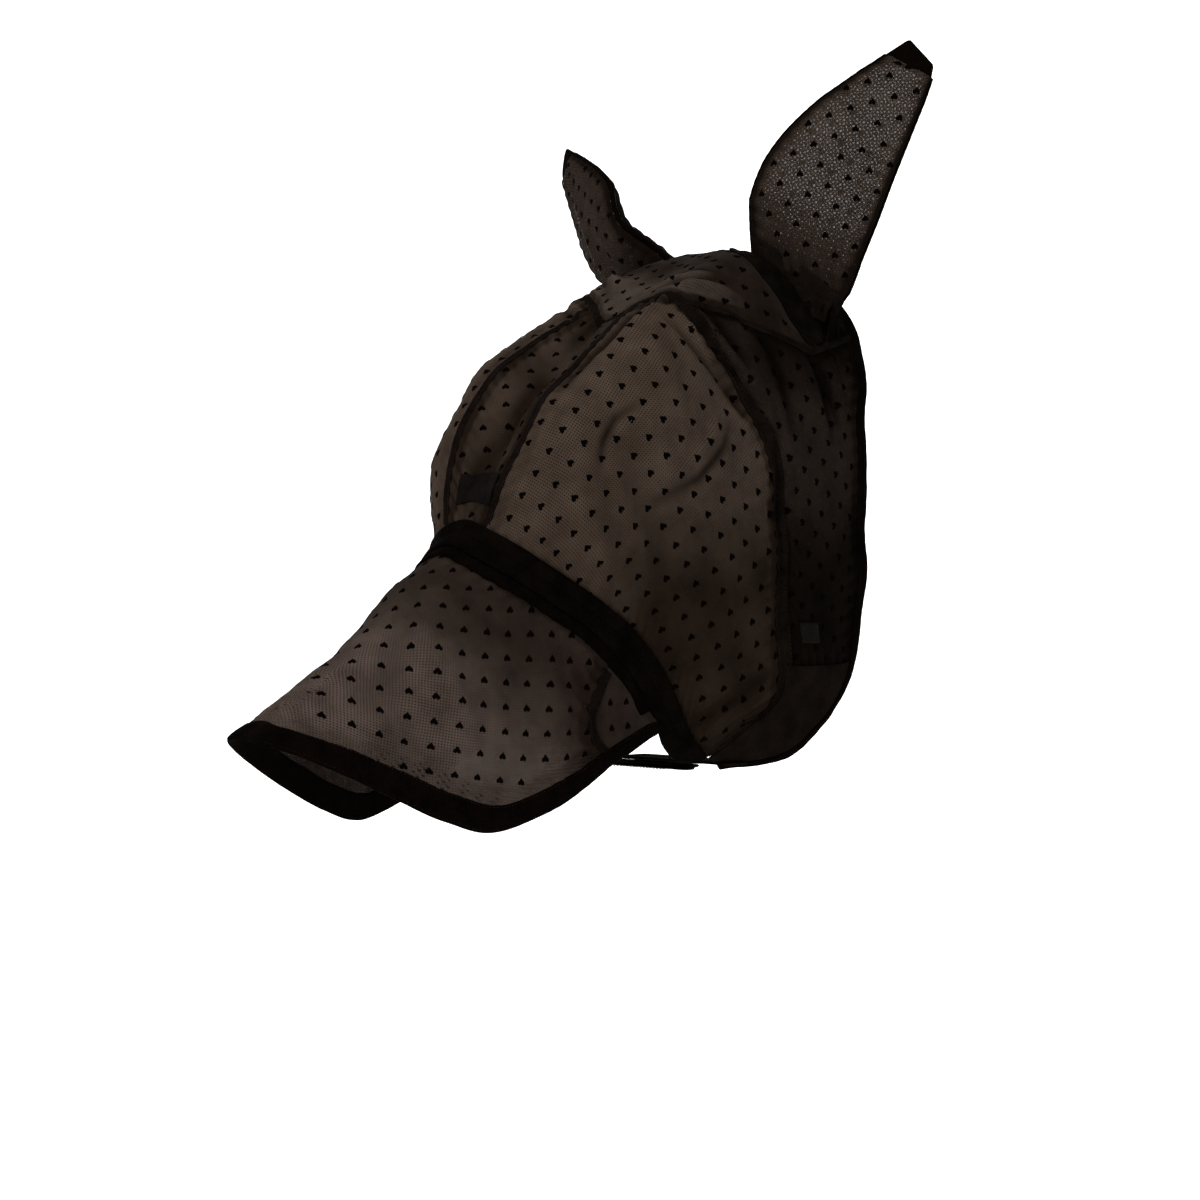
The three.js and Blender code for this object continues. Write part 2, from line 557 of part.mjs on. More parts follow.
// ------------------------------------------------------------ label and tag
add('nose_label', shell((u, v) => {
  const c = lerp(-0.6, 0.84, u);
  return face.at(c, lerp(face.len(c) - 52, face.len(c) - 28, v));
}, 6, 4, TAPE_IN, TAPE_IN + 0.9), LABEL);
add('size_tag', shell((u, v) => {
  const c = lerp(7.24, 7.44, u), s = lerp(20, 42, v);
  return rear.at(c, s);
}, 2, 3, TAPE_IN, TAPE_IN + 0.8), 0x1c1714);

export default mask;
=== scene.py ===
# Looks of a horse fly mask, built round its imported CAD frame. The tables are in
# millimetres in the row frame (+Z up, -Y the way the nose points, +X the
# horse's left); meshes are made in metres.
import math

import bpy
import numpy as np
from mathutils import Matrix, Vector
from mathutils.bvhtree import BVHTree


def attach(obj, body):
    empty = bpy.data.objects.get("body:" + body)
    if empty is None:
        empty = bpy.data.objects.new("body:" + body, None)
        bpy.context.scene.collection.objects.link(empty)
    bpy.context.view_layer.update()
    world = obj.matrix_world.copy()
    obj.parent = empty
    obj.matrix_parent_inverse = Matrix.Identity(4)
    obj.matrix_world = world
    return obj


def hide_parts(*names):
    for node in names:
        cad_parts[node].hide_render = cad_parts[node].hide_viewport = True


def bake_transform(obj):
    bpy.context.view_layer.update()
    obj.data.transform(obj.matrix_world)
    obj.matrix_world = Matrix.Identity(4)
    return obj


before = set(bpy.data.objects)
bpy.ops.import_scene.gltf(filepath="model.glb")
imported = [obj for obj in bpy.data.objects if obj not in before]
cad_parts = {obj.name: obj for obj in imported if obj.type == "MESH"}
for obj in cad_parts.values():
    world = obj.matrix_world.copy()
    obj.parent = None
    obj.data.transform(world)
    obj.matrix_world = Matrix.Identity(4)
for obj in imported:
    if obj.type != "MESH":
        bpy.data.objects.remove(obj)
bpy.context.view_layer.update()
MM = 0.001

# ------------------------------------------------------------ shared surfaces
FACE = [
    [[0, -110, -56], [24, -96, -40], [48, -85, -34], [78, -76, -72], [98, -61, -111], [108, -44, -148], [113, -40, -201], [112, -36, -261], [102, -22, -331], [92, -50, -357], [72, -75, -379]],
    [[0, -163, -91], [36, -167, -77], [66, -155, -74], [88, -136, -98], [102, -117, -132], [109, -94, -171], [112, -85, -222], [109, -75, -277], [98, -59, -335], [88, -70, -359], [70, -77, -379]],
    [[0, -208, -131], [36, -212, -116], [64, -204, -121], [84, -181, -137], [96, -159, -164], [102, -132, -198], [104, -117, -242], [101, -100, -290], [92, -80, -340], [84, -82, -361], [68, -80, -379]],
    [[0, -235, -167], [32, -239, -157], [56, -234, -166], [74, -218, -183], [85, -196, -206], [90, -169, -235], [91, -145, -267], [89, -122, -307], [83, -99, -350], [76, -90, -366], [66, -82, -379]],
    [[0, -263, -213], [18, -262, -219], [34, -254, -228], [47, -242, -239], [57, -222, -253], [65, -197, -269], [70, -168, -290], [72, -140, -319], [69, -115, -351], [67, -99, -367], [64, -84, -379]],
]
REAR = [
    FACE[0],
    [[0, -58, -20], [28, -50, -12], [56, -45, -16], [86, -39, -62], [104, -25, -102], [112, -13, -141], [115, -7, -201], [112, -1, -262], [100, 9, -333], [90, -31, -366], [72, -73, -381]],
    [[0, 2, 5], [30, 6, 5], [62, 10, -8], [90, 13, -55], [105, 21, -93], [112, 28, -136], [115, 29, -201], [111, 34, -264], [98, 39, -333], [88, -12, -374], [72, -69, -383]],
    [[0, 65, 1], [30, 70, -3], [60, 77, -19], [88, 81, -50], [101, 77, -88], [108, 70, -132], [111, 67, -201], [108, 69, -265], [95, 64, -331], [86, 7, -381], [72, -64, -390]],
]
FLAP = [
    FACE[4][:8] + [[71, -128, -336], [69, -115, -351]],
    [[0, -330, -263], [17, -330, -268], [34, -322, -276], [49, -308, -285], [59, -286, -298], [67, -259, -312], [72, -227, -326], [75, -195, -337], [73, -156, -343], [70, -121, -353]],
    [[0, -395, -310], [17, -398, -314], [33, -386, -321], [47, -366, -331], [57, -340, -343], [65, -307, -356], [71, -270, -368], [76, -224, -367], [74, -173, -360], [70, -125, -356]],
    [[0, -466, -348], [15, -468, -350], [32, -447, -360], [45, -416, -374], [55, -379, -392], [62, -339, -410], [68, -296, -420], [75, -236, -405], [73, -184, -381], [70, -129, -359]],
]
PANEL_T, NECK_W, BAND_HALF, HEM_W = 1.6, 11.0, 13.0, 21.0
FLAP_START, FLAP_TAPE_W, FLAP_END = 15.9, 8.0, 8.2


def w4(f):
    return [0.5 * (-f + 2 * f**2 - f**3), 0.5 * (2 - 5 * f**2 + 3 * f**3), 0.5 * (f + 4 * f**2 - 3 * f**3), 0.5 * (-(f**2) + f**3)]


def unit(a):
    return a / np.maximum(np.linalg.norm(a, axis=-1, keepdims=True), 1e-9)


def lerp(a, b, t):
    return a + (b - a) * t


def smooth(t):
    t = np.clip(t, 0, 1)
    return t * t * (3 - 2 * t)


class Net:
    """Cubic surface through a control net; a negative column is the right half."""

    def __init__(self, rows, sign):
        P = np.array(rows, float)
        self.R, self.C, self.sign = P.shape[0] - 1, P.shape[1] - 1, sign
        E = np.concatenate([P[:, 1:2] * [-1, 1, 1], P, 2 * P[:, -1:] - P[:, -2:-1]], 1)
        self.E = np.concatenate([2 * E[:1] - E[1:2], E, 2 * E[-1:] - E[-2:-1]], 0)
        self.cs = np.linspace(0, self.C, self.C * 8 + 1)
        q = self.p(np.linspace(0, self.R, 73)[None, :], self.cs[:, None])
        d = np.linalg.norm(np.diff(q, axis=1), axis=2)
        self.acc = np.concatenate([np.zeros((len(d), 1)), np.cumsum(d, 1)], 1)

    def p(self, r, c):
        r, c = np.broadcast_arrays(np.asarray(r, float), np.asarray(c, float))
        a = np.abs(c)
        j = np.clip(np.floor(a).astype(int), 0, self.C - 1)
        i = np.clip(np.floor(r).astype(int), 0, self.R - 1)
        wf, wg = w4(r - i), w4(a - j)
        out = 0
        for m in range(4):
            for n in range(4):
                out = out + self.E[i + m, j + n] * (wf[m] * wg[n])[..., None]
        out = np.array(out)
        out[..., 0] *= np.where(c < 0, -1, 1)
        return out

    def n(self, r, c, e=0.03):
        r, c = np.broadcast_arrays(np.asarray(r, float), np.asarray(c, float))
        return unit(np.cross(self.p(r + e, c) - self.p(r - e, c), self.p(r, c + e) - self.p(r, c - e)) * self.sign)

    def table(self, c):
        k = np.clip(np.abs(c) * 8, 0, len(self.cs) - 1.0001)
        i = np.floor(k).astype(int)
        f = (k - i)[..., None]
        return self.acc[i] * (1 - f) + self.acc[i + 1] * f

    def len(self, c):
        return self.table(np.asarray(c, float))[..., -1]

    def row(self, c, s):
        c, s = np.broadcast_arrays(np.asarray(c, float), np.asarray(s, float))
        t = self.table(c)
        i = np.clip((t <= s[..., None]).sum(-1) - 1, 0, 71)
        lo = np.take_along_axis(t, i[..., None], -1)[..., 0]
        hi = np.take_along_axis(t, i[..., None] + 1, -1)[..., 0]
        return (i + (s - lo) / (hi - lo)) / 72 * self.R

    def at(self, c, s):
        r = self.row(c, s)
        return self.p(r, c), self.n(r, c)

    def dc(self, r, c):
        return np.linalg.norm(self.p(r, np.add(c, 0.05)) - self.p(r, np.subtract(c, 0.05)), axis=-1) / 0.1


face, rear, flap = Net(FACE, 1), Net(REAR, -1), Net(FLAP, 1)
SPLIT = [2.15, 2.8, 3.45, 3.2]


def split(r):
    r = np.asarray(r, float)
    i = np.clip(np.floor(r), 0, 2).astype(int)
    f = r - i
    g = np.array(SPLIT)
    return lerp(g[i], g[np.minimum(i + 1, 3)], f * f * (3 - 2 * f) * 0.35 + f * 0.65)


# ------------------------------------------------------- slack, folds, pleats
# Folds of the near side, each a line of points with a height and a half width.
FOLDS = [
    ([[61, -109, -52], [82, -93, -77], [103, -67, -123]], -2.4, 3.6),
    ([[60, -96, -47], [81, -84, -74], [102, -62, -117]], 2.6, 3.2),
    ([[60, -87, -46], [79, -75, -72], [101, -56, -110]], -2.2, 3.0),
    ([[62, -77, -43], [81, -68, -68], [98, -53, -100]], 2.6, 3.0),
    ([[63, -68, -40], [82, -60, -65], [96, -51, -91]], -2.4, 3.2),
    ([[71, -56, -42], [84, -48, -60], [94, -37, -75]], 2.2, 3.4),
    ([[79, -43, -47], [89, -23, -58], [98, -5, -73]], -2.2, 4.0),
    ([[8, -108, -56], [12, -137, -71], [8, -190, -111]], 2.2, 4.5),
    ([[36, -93, -33], [47, -158, -69], [43, -203, -106]], -2.4, 5.0),
    ([[44, -92, -34], [57, -152, -72], [56, -196, -112]], 2.0, 4.5),
    ([[13, -155, -79], [3, -193, -113], [-5, -227, -150], [-14, -253, -190]], -2.6, 6.0),
    ([[107, -44, -127], [114, -49, -202], [110, -43, -291]], 1.6, 3.4),
    ([[107, -37, -120], [114, -40, -195], [110, -34, -291]], -1.5, 3.0),
    ([[107, -28, -111], [115, -27, -187], [110, -22, -292]], 1.3, 3.2),
    ([[101, -8, -80], [108, 3, -103], [114, 22, -136]], 2.0, 4.5),
    ([[100, 9, -74], [107, 24, -95], [112, 37, -125]], -2.0, 4.5),
    ([[74, -95, -367], [94, -73, -348], [103, -32, -330]], 2.0, 4.0),
    ([[78, -104, -360], [94, -82, -342], [103, -45, -318]], -1.8, 4.5),
    ([[18, -89, -35], [35, -72, -22], [61, -47, -20]], -2.2, 4.0),
    ([[20, -78, -30], [40, -62, -16], [62, -38, -18]], 2.0, 4.0),
    ([[86, -29, -54], [97, -8, -73], [105, 10, -89]], 1.8, 4.0),
    ([[62, -222, -158], [79, -203, -214], [74, -190, -259]], 2.2, 9.0),
    ([[84, -192, -140], [96, -166, -196], [96, -150, -240]], -1.8, 10.0),
    ([[20, -300, -246], [35, -336, -285], [63, -315, -340]], 2.2, 10.0),
    ([[26, -340, -272], [38, -376, -318], [58, -358, -366]], -2.2, 11.0),
    ([[64, -247, -287], [73, -235, -330], [76, -238, -372]], 2.0, 8.0),
    ([[70, -215, -312], [75, -200, -345], [76, -205, -380]], -1.6, 6.0),
    ([[84.5, -194, -156], [84, -188, -142], [85, -178, -132], [90, -163, -125]], 1.3, 3.2),
    ([[82, -203, -166], [80, -196, -144], [81, -185, -128], [87, -165, -117]], -0.9, 3.4),
    ([[98, -161, -175], [104, -130, -161], [106, -110, -144], [103, -98, -126]], 1.3, 3.6),
    ([[99, -157, -187], [106, -121, -171], [108, -97, -148], [104, -83, -128]], -0.9, 4.0),
    ([[-6, -108, -52], [23, -84, -31], [55, -63, -23], [75, -34, -37]], 2.4, 3.8),
    ([[20, -112, -50], [46, -100, -38], [61, -70, -32], [80, -44, -46]], -2.4, 3.4),
    ([[10, -62, -14], [37, -53, -11], [67, -36, -24]], -2.0, 4.0),
    ([[12, -72, -20], [44, -66, -20], [69, -42, -30]], 2.2, 4.0),
    ([[88, -34, -61], [103, -25, -96], [112, -23, -134]], -1.6, 4.0),
    ([[89, -54, -76], [104, -42, -112], [111, -36, -149]], 1.5, 4.2),
    ([[94, 15, -60], [107, 19, -95], [114, 25, -140]], -1.6, 4.2),
    ([[93, 34, -55], [105, 38, -90], [112, 42, -132]], 1.5, 4.2),
]


def fold_height(P):
    return fold_fields(P)[0]


def fold_fields(P):
    """How far the cloth stands off its smooth surface at each point, in mm, and
    how dark it is painted there, from 0 to 1: darker in the creases, partly as doubled cloth and partly as painted
    shade, and lighter on the ridges as a painted highlight."""
    S = P.reshape(-1, 3)
    x, y, z = S[:, 0], S[:, 1], S[:, 2]
    h = 1.7 * np.sin(0.031 * y + 0.045 * z + 0.02 * x + 0.6) * np.sin(0.037 * z - 0.021 * y + 0.8)
    h += 0.8 * np.sin(0.092 * y - 0.061 * z + 0.05 * x) * np.sin(0.071 * z + 0.055 * y + 1.7)
    h += 0.22 * np.sin(0.24 * y + 0.15 * z + 0.1 * x + 0.3) * np.sin(0.19 * z - 0.21 * y)
    doubling_fold_shade_and_highlight = np.zeros(len(S))
    for side in (1, -1):
        Q = S * [side, 1, 1]
        for k, (line, high, half) in enumerate(FOLDS):
            L = np.array(line, float)
            if side < 0:
                L = L + [0, 7 * math.sin(k * 2.1), 6 * math.cos(k * 1.7)]
            best = np.full(len(Q), 1e9)
            where = np.zeros(len(Q))
            n = len(L) - 1
            for i in range(n):
                d = L[i + 1] - L[i]
                t = np.clip(((Q - L[i]) @ d) / (d @ d), 0, 1)
                r = np.linalg.norm(Q - (L[i] + t[:, None] * d), axis=1)
                better = r < best
                best = np.where(better, r, best)
                where = np.where(better, (i + t) / n, where)
            near = best < 5 * half
            if near.any():
                fade = np.sin(np.pi * np.clip(0.08 + 0.84 * where, 0, 1)) ** 0.6
                bell = np.exp(-((best / half) ** 2)) * fade
                h += np.where(near, high * 1.8 * bell, 0)
                # Painted shade in the creases (high < 0) and a painted highlight on the ridges (high > 0), on top of
                # the darker doubled cloth in the pleats.
                doubling_fold_shade_and_highlight += np.where(near, (0.9 if high < 0 else -0.2) * (1.0 if half < 6 else 0.3) * np.exp(-((best / (half * 1.15)) ** 2)) * fade, 0)
    return h.reshape(P.shape[:-1]), np.clip(doubling_fold_shade_and_highlight, 0, 1).reshape(P.shape[:-1])


def painted_head_shade(P):
    """Painted shade on the cheeks, jowls and crown: darker towards the lower back edge and under the ears, standing in
    for the shaded head inside, in uneven patches.
    """
    low = smooth((-P[..., 2] - 150) / 110.0)
    rear = smooth((P[..., 1] + 240) / 100.0)
    top = 0.8 * smooth((P[..., 2] + 125) / 60.0) * smooth((P[..., 1] + 75) / 50.0)
    patchy_shade = 0.06 * np.sin(0.041 * P[..., 1] + 0.9) * np.sin(0.037 * P[..., 2] - 0.4) + 0.04 * np.sin(0.11 * P[..., 1] + 0.07 * P[..., 2])
    return np.clip(0.86 * low * rear + top + patchy_shade + 0.05, 0, 1)


def flap_dusk(P):
    """The flap is darker under the nose band, where it lies in the shadow."""
    w = -0.68 * P[..., 1] - 0.733 * P[..., 2]
    patchy_shade = 0.05 * np.sin(0.045 * P[..., 1] + 1.4) * np.sin(0.04 * P[..., 2])
    return np.clip(0.80 * (1 - smooth((w - 390) / 85.0)) + patchy_shade + 0.06, 0, 1)


def painted_brow_shade(P):
    """Painted shade: the forehead panel is darker all over, in soft patches."""
    return np.clip(0.66 + 0.26 * np.sin(0.06 * P[..., 1] + 0.09 * P[..., 0]) * np.sin(0.05 * P[..., 2] + 1.0), 0, 1)


# -------------------------------------------------------------------- meshes
made = {}


def mesh_object(name, verts, faces, material, uv=None, flat=False, shade=None):
    me = bpy.data.meshes.new(name)
    v = np.asarray(verts, float) * MM
    me.from_pydata(v.tolist(), [], [tuple(map(int, f)) for f in faces])
    tris = [(f[0], f[i], f[i + 1]) for f in me_faces(me) for i in range(1, len(f) - 1)]
    t = np.array(tris)
    a, b, c = v[t[:, 0]], v[t[:, 1]], v[t[:, 2]]
    if float((a * np.cross(b, c)).sum()) < 0:
        me.flip_normals()
    if uv is not None:
        layer = me.uv_layers.new(name="cloth")
        idx = np.zeros(len(me.loops), int)
        me.loops.foreach_get("vertex_index", idx)
        layer.data.foreach_set("uv", (np.asarray(uv, float)[idx] * 0.01).ravel())
    if not flat:
        me.polygons.foreach_set("use_smooth", [True] * len(me.polygons))
    att = me.attributes.new("shade", "FLOAT", "POINT")
    att.data.foreach_set("value", np.zeros(len(me.vertices), np.float32) if shade is None else np.asarray(shade, np.float32))
    me.update()
    o = bpy.data.objects.new(name, me)
    bpy.context.scene.collection.objects.link(o)
    me.materials.append(material)
    made[name] = o
    return o


def me_faces(me):
    return [tuple(p.vertices) for p in me.polygons]


def grid_quads(nu, nv, keep=None):
    i, j = np.meshgrid(np.arange(nu), np.arange(nv), indexing="ij")
    W = nv + 1
    q = np.stack([i * W + j, (i + 1) * W + j, (i + 1) * W + j + 1, i * W + j + 1], -1).reshape(-1, 4)
    return q if keep is None else q[keep.reshape(-1)]


def closed(outer, inner, quads):
    """Two skins over the same quads, with a rim along every open edge."""
    n = len(outer)
    count = {}
    for q in quads:
        for k in range(4):
            e = (int(q[k]), int(q[(k + 1) % 4]))
            key = (min(e), max(e))
            count[key] = None if key in count else e
    faces = [tuple(q) for q in quads] + [tuple(int(x) + n for x in q[::-1]) for q in quads]
    for e in count.values():
        if e is not None:
            faces.append((e[1], e[0], e[0] + n, e[1] + n))
    verts = np.concatenate([outer, inner])
    used = np.zeros(len(verts), bool)
    for f in faces:
        used[list(f)] = True
    new = np.cumsum(used) - 1
    return verts[used], [tuple(int(new[x]) for x in f) for f in faces], used


def flatten(P, rounds=500):
    """Lays a coarse grid of points out flat, keeping its edge lengths: the cut cloth."""
    nu, nv = P.shape[0] - 1, P.shape[1] - 1
    mid = nv // 2
    x = np.concatenate([[0], np.cumsum(np.linalg.norm(np.diff(P[:, mid], axis=0), axis=1))])
    dy = np.concatenate([np.zeros((nu + 1, 1)), np.cumsum(np.linalg.norm(np.diff(P, axis=1), axis=2), 1)], 1)
    U = np.stack([np.repeat(x[:, None], nv + 1, 1), dy - dy[:, mid : mid + 1]], -1)
    idx = np.arange((nu + 1) * (nv + 1)).reshape(nu + 1, nv + 1)
    sets = []
    for a, b in [
        (idx[:-1, :], idx[1:, :]),
        (idx[:, :-1], idx[:, 1:]),
        (idx[:-1, :-1], idx[1:, 1:]),
        (idx[:-1, 1:], idx[1:, :-1]),
    ]:
        sets.append((a.ravel(), b.ravel()))
    A = np.concatenate([s[0] for s in sets])
    B = np.concatenate([s[1] for s in sets])
    F = P.reshape(-1, 3)
    rest = np.linalg.norm(F[A] - F[B], axis=1)
    U = U.reshape(-1, 2)
    deg = np.bincount(A, minlength=len(U)) + np.bincount(B, minlength=len(U))
    for _ in range(rounds):
        d = U[B] - U[A]
        l = np.maximum(np.linalg.norm(d, axis=1), 1e-6)
        move = d * ((l - rest) / l * 0.5)[:, None]
        step = np.zeros_like(U)
        for k in range(2):
            step[:, k] = np.bincount(A, move[:, k], len(U)) - np.bincount(B, move[:, k], len(U))
        U = U + step / deg[:, None] * 1.6
    return U.reshape(nu + 1, nv + 1, 2)


def resample(U, nu, nv):
    a, b = U.shape[0] - 1, U.shape[1] - 1
    i = np.linspace(0, a, nu + 1)
    j = np.linspace(0, b, nv + 1)
    i0 = np.clip(np.floor(i).astype(int), 0, a - 1)
    j0 = np.clip(np.floor(j).astype(int), 0, b - 1)
    f, g = (i - i0)[:, None, None], (j - j0)[None, :, None]
    q = lambda m, n: U[i0 + m][:, j0 + n]
    return q(0, 0) * (1 - f) * (1 - g) + q(1, 0) * f * (1 - g) + q(0, 1) * (1 - f) * g + q(1, 1) * f * g


CELL = 3.2


class Cloth:
    """One cut of cloth over a surface: its points, normals and flat layout."""

    def __init__(self, fn, nu, nv, along=None, ref=(0.5, 0.5), fold=True, coarse=(28, 14), edges=(0, 0, 0, 0), reach=11.0, base=0.0):
        u, v = np.meshgrid(np.linspace(0, 1, nu + 1), np.linspace(0, 1, nv + 1), indexing="ij")
        self.P, self.N = fn(u, v)
        self.nu, self.nv = nu, nv
        self.shade = np.full(self.P.shape[:2], float(base))
        if fold:
            # Folds: the cloth stands off by their height, and its shade takes the painted crease shade, the painted
            # ridge highlight and the darker doubled cloth.
            height, doubling_fold_shade_and_highlight = fold_fields(self.P)
            self.P = self.P + self.N * height[..., None]
            self.shade = self.shade + doubling_fold_shade_and_highlight
        du = np.concatenate([np.zeros((1, nv + 1)), np.cumsum(np.linalg.norm(np.diff(self.P, axis=0), axis=2), 0)], 0)
        dv = np.concatenate([np.zeros((nu + 1, 1)), np.cumsum(np.linalg.norm(np.diff(self.P, axis=1), axis=2), 1)], 1)
        self.P = self.P.copy()
        for weight, d, run in zip(edges, (du, du[-1:] - du, dv, dv[:, -1:] - dv), (dv, dv, du, du)):
            if weight > 0:
                s = run * (2 * math.pi / 11.5) + 1.3 * np.sin(run * 0.045) + 0.05 * d
                tuck = 1.15 * np.exp(-((d / 17) ** 2)) * (1 - np.exp(-((d / 3.0) ** 2))) * (0.7 + 0.3 * np.sin(run * 0.031 + 1))
                self.P = self.P + self.N * (tuck * np.sin(s))[..., None]
                # Painted shade in the troughs of the puckers beside the seam.
                self.shade = self.shade + 0.22 * np.exp(-((d / 17) ** 2)) * np.clip(-np.sin(s), 0, 1)
            wav = reach * (1 + 0.12 * np.sin(0.07 * self.P[..., 2] + 0.05 * self.P[..., 1]))
            self.shade = self.shade + weight * smooth((wav - d) / 2.5 + 0.5)
        self.shade = np.clip(self.shade, 0, 1)
        self.N = self.normals(self.N)
        uc, vc = np.meshgrid(np.linspace(0, 1, coarse[0] + 1), np.linspace(0, 1, coarse[1] + 1), indexing="ij")
        U = resample(flatten(fn(uc, vc)[0]), nu, nv)
        i, j = int(ref[0] * (nu - 1)), int(ref[1] * (nv - 1))
        if along is not None:  # turn the layout so that its first axis runs that way on the object
            dU = np.stack([U[i + 1, j] - U[i, j], U[i, j + 1] - U[i, j]], 1)
            dP = np.stack([self.P[i + 1, j] - self.P[i, j], self.P[i, j + 1] - self.P[i, j]], 1)
            J = dP @ np.linalg.inv(dU)
            n = self.N[i, j]
            a = np.array(along, float)
            a = a - n * (a @ n)
            w = np.linalg.lstsq(J, a, rcond=None)[0]
            w = w / np.linalg.norm(w)
            U = U @ np.array([[w[0], -w[1]], [w[1], w[0]]])
        self.U = U - U[i, j]
        self.keep = None

    def normals(self, guide):
        du = np.gradient(self.P, axis=0)
        dv = np.gradient(self.P, axis=1)
        n = unit(np.cross(du, dv))
        return n * np.sign((n * guide).sum(-1, keepdims=True) + 1e-9)

    def flat_size(self):
        U = self.U.reshape(-1, 2)
        q = U - U.mean(0)
        best = None
        for a in np.radians(np.arange(0, 180, 3)):
            r = q @ np.array([[math.cos(a), -math.sin(a)], [math.sin(a), math.cos(a)]])
            w, l = np.ptp(r, axis=0)
            if best is None or w * l < best[0]:
                best = (w * l, min(w, l), max(w, l))
        quads = grid_quads(self.nu, self.nv, self.keep)
        p = U[quads]
        area = 0.5 * np.abs(np.cross(p[:, 2] - p[:, 0], p[:, 3] - p[:, 1])).sum()
        return best[1] * MM, best[2] * MM, area * MM * MM

    def sheet(self, name, material, lo=0.15, hi=0.75, double=True, under=None):
        """The net's two skins. A double net's inner skin is a finer net than its outer one."""
        quads = grid_quads(self.nu, self.nv, self.keep)
        P, N = self.P.reshape(-1, 3), self.N.reshape(-1, 3)
        verts, faces, used = closed(P + N * hi, P + N * lo, quads)
        U = self.U.reshape(-1, 2)
        V = U * (2.37 if double else 1.0) + (0.9 if double else 0.0)
        o = mesh_object(name, verts, faces, material, np.concatenate([U, V])[used], shade=np.concatenate([self.shade.ravel()] * 2)[used])
        if double:
            o.data.materials.append(under or UNDER)
            skin = np.zeros(len(o.data.polygons), np.int32)
            skin[len(quads) : 2 * len(quads)] = 1
            o.data.polygons.foreach_set("material_index", skin)
        return o

    def marks(self, name, material, pitch, turn=0.0, phase=(0, 0), size=6.5, margin=2.6, top=1.3, base=0.55, spin=0.0):
        """Hearts on a square lattice of the flat cloth, carried onto the object."""
        quads = grid_quads(self.nu, self.nv, self.keep)
        U, P, N = self.U.reshape(-1, 2), self.P.reshape(-1, 3), self.N.reshape(-1, 3)
        tri = np.concatenate([quads[:, [0, 1, 2]], quads[:, [0, 2, 3]]])
        flat3 = [(float(x), float(y), 0.0) for x, y in U]
        tree = BVHTree.FromPolygons(flat3, tri.tolist())
        t = np.linspace(0, 2 * np.pi, 14, endpoint=False)
        hx = 16 * np.sin(t) ** 3 / 34
        hy = (13 * np.cos(t) - 5 * np.cos(2 * t) - 2 * np.cos(3 * t) - np.cos(4 * t) + 2.5) / 31
        heart = np.stack([hx, hy], 1) * size
        cs, sn = math.cos(spin), math.sin(spin)
        heart = heart @ np.array([[cs, sn], [-sn, cs]])
        ca, sa = math.cos(turn), math.sin(turn)
        lo, hi = U.min(0), U.max(0)
        reach = int(np.linalg.norm(hi - lo) / pitch) + 3
        mid = (lo + hi) / 2
        up = Vector((0, 0, 1))
        down = Vector((0, 0, -1))

        def locate(x, y):
            hit, _, k, _ = tree.ray_cast(Vector((x, y, 5)), down)
            if hit is None:
                return None
            ia, ib, ic = tri[k]
            a, b, c = U[ia], U[ib], U[ic]
            m = np.array([b - a, c - a]).T
            d = m[0, 0] * m[1, 1] - m[0, 1] * m[1, 0]
            if abs(d) < 1e-9:
                return None
            q = np.array([x, y]) - a
            s = (q[0] * m[1, 1] - q[1] * m[0, 1]) / d
            r = (m[0, 0] * q[1] - m[1, 0] * q[0]) / d
            w = np.array([1 - s - r, s, r])
            return w @ P[[ia, ib, ic]], unit(w @ N[[ia, ib, ic]])

        verts, faces = [], []
        for a in range(-reach, reach + 1):
            for b in range(-reach, reach + 1):
                x = mid[0] + phase[0] + pitch * (a * ca - b * sa)
                y = mid[1] + phase[1] + pitch * (a * sa + b * ca)
                if not (lo[0] < x < hi[0] and lo[1] < y < hi[1]):
                    continue
                k = size / 2 + margin
                if any(locate(x + dx, y + dy) is None for dx, dy in ((k, 0), (-k, 0), (0, k), (0, -k))):
                    continue
                wob = 0.06 * math.sin(a * 12.9 + b * 78.2)
                wc, ws = math.cos(wob), math.sin(wob)
                ring = [(x + wc * h[0] - ws * h[1], y + ws * h[0] + wc * h[1]) for h in heart]
                pts = [locate(*q) for q in ring]
                core = locate(x, y)
                if core is None or any(q is None for q in pts):
                    continue
                o = len(verts)
                n = len(pts)
                for q, nn in pts:
                    verts.append(q + nn * base)
                for (q, nn), h in zip(pts, heart):
                    verts.append(q * 0.86 + core[0] * 0.14 + nn * (top - 0.12))
                verts.append(core[0] + core[1] * top)
                verts.append(core[0] + core[1] * base)
                for i in range(n):
                    j = (i + 1) % n
                    faces.append((o + i, o + j, o + n + j, o + n + i))
                    faces.append((o + n + i, o + n + j, o + 2 * n))
                    faces.append((o + j, o + i, o + 2 * n + 1))
        return mesh_object(name, verts, faces, material) if faces else None


def strip(name, fn, nu, nv, lo, hi, material, fold=True, bump=None):
    """A flat band over a surface, from offset lo to hi (numbers or functions of u, v)."""
    u, v = np.meshgrid(np.linspace(0, 1, nu + 1), np.linspace(0, 1, nv + 1), indexing="ij")
    P, N = fn(u, v)
    if fold:
        P = P + N * fold_height(P)[..., None]
    a = lo(u, v) if callable(lo) else np.full(u.shape, float(lo))
    b = hi(u, v) if callable(hi) else np.full(u.shape, float(hi))
    if bump is not None:
        b = b + bump(P)
    x = np.concatenate([[0], np.cumsum(np.linalg.norm(np.diff(P[:, nv // 2], axis=0), axis=1))])
    w = np.linalg.norm(P[:, -1] - P[:, 0], axis=1).mean()
    U = np.stack([np.repeat(x[:, None], nv + 1, 1), v * w], -1).reshape(-1, 2)
    outer = (P + N * b[..., None]).reshape(-1, 3)
    inner = (P + N * a[..., None]).reshape(-1, 3)
    verts, faces, used = closed(outer, inner, grid_quads(nu, nv))
    return mesh_object(name, verts, faces, material, np.concatenate([U, U])[used])


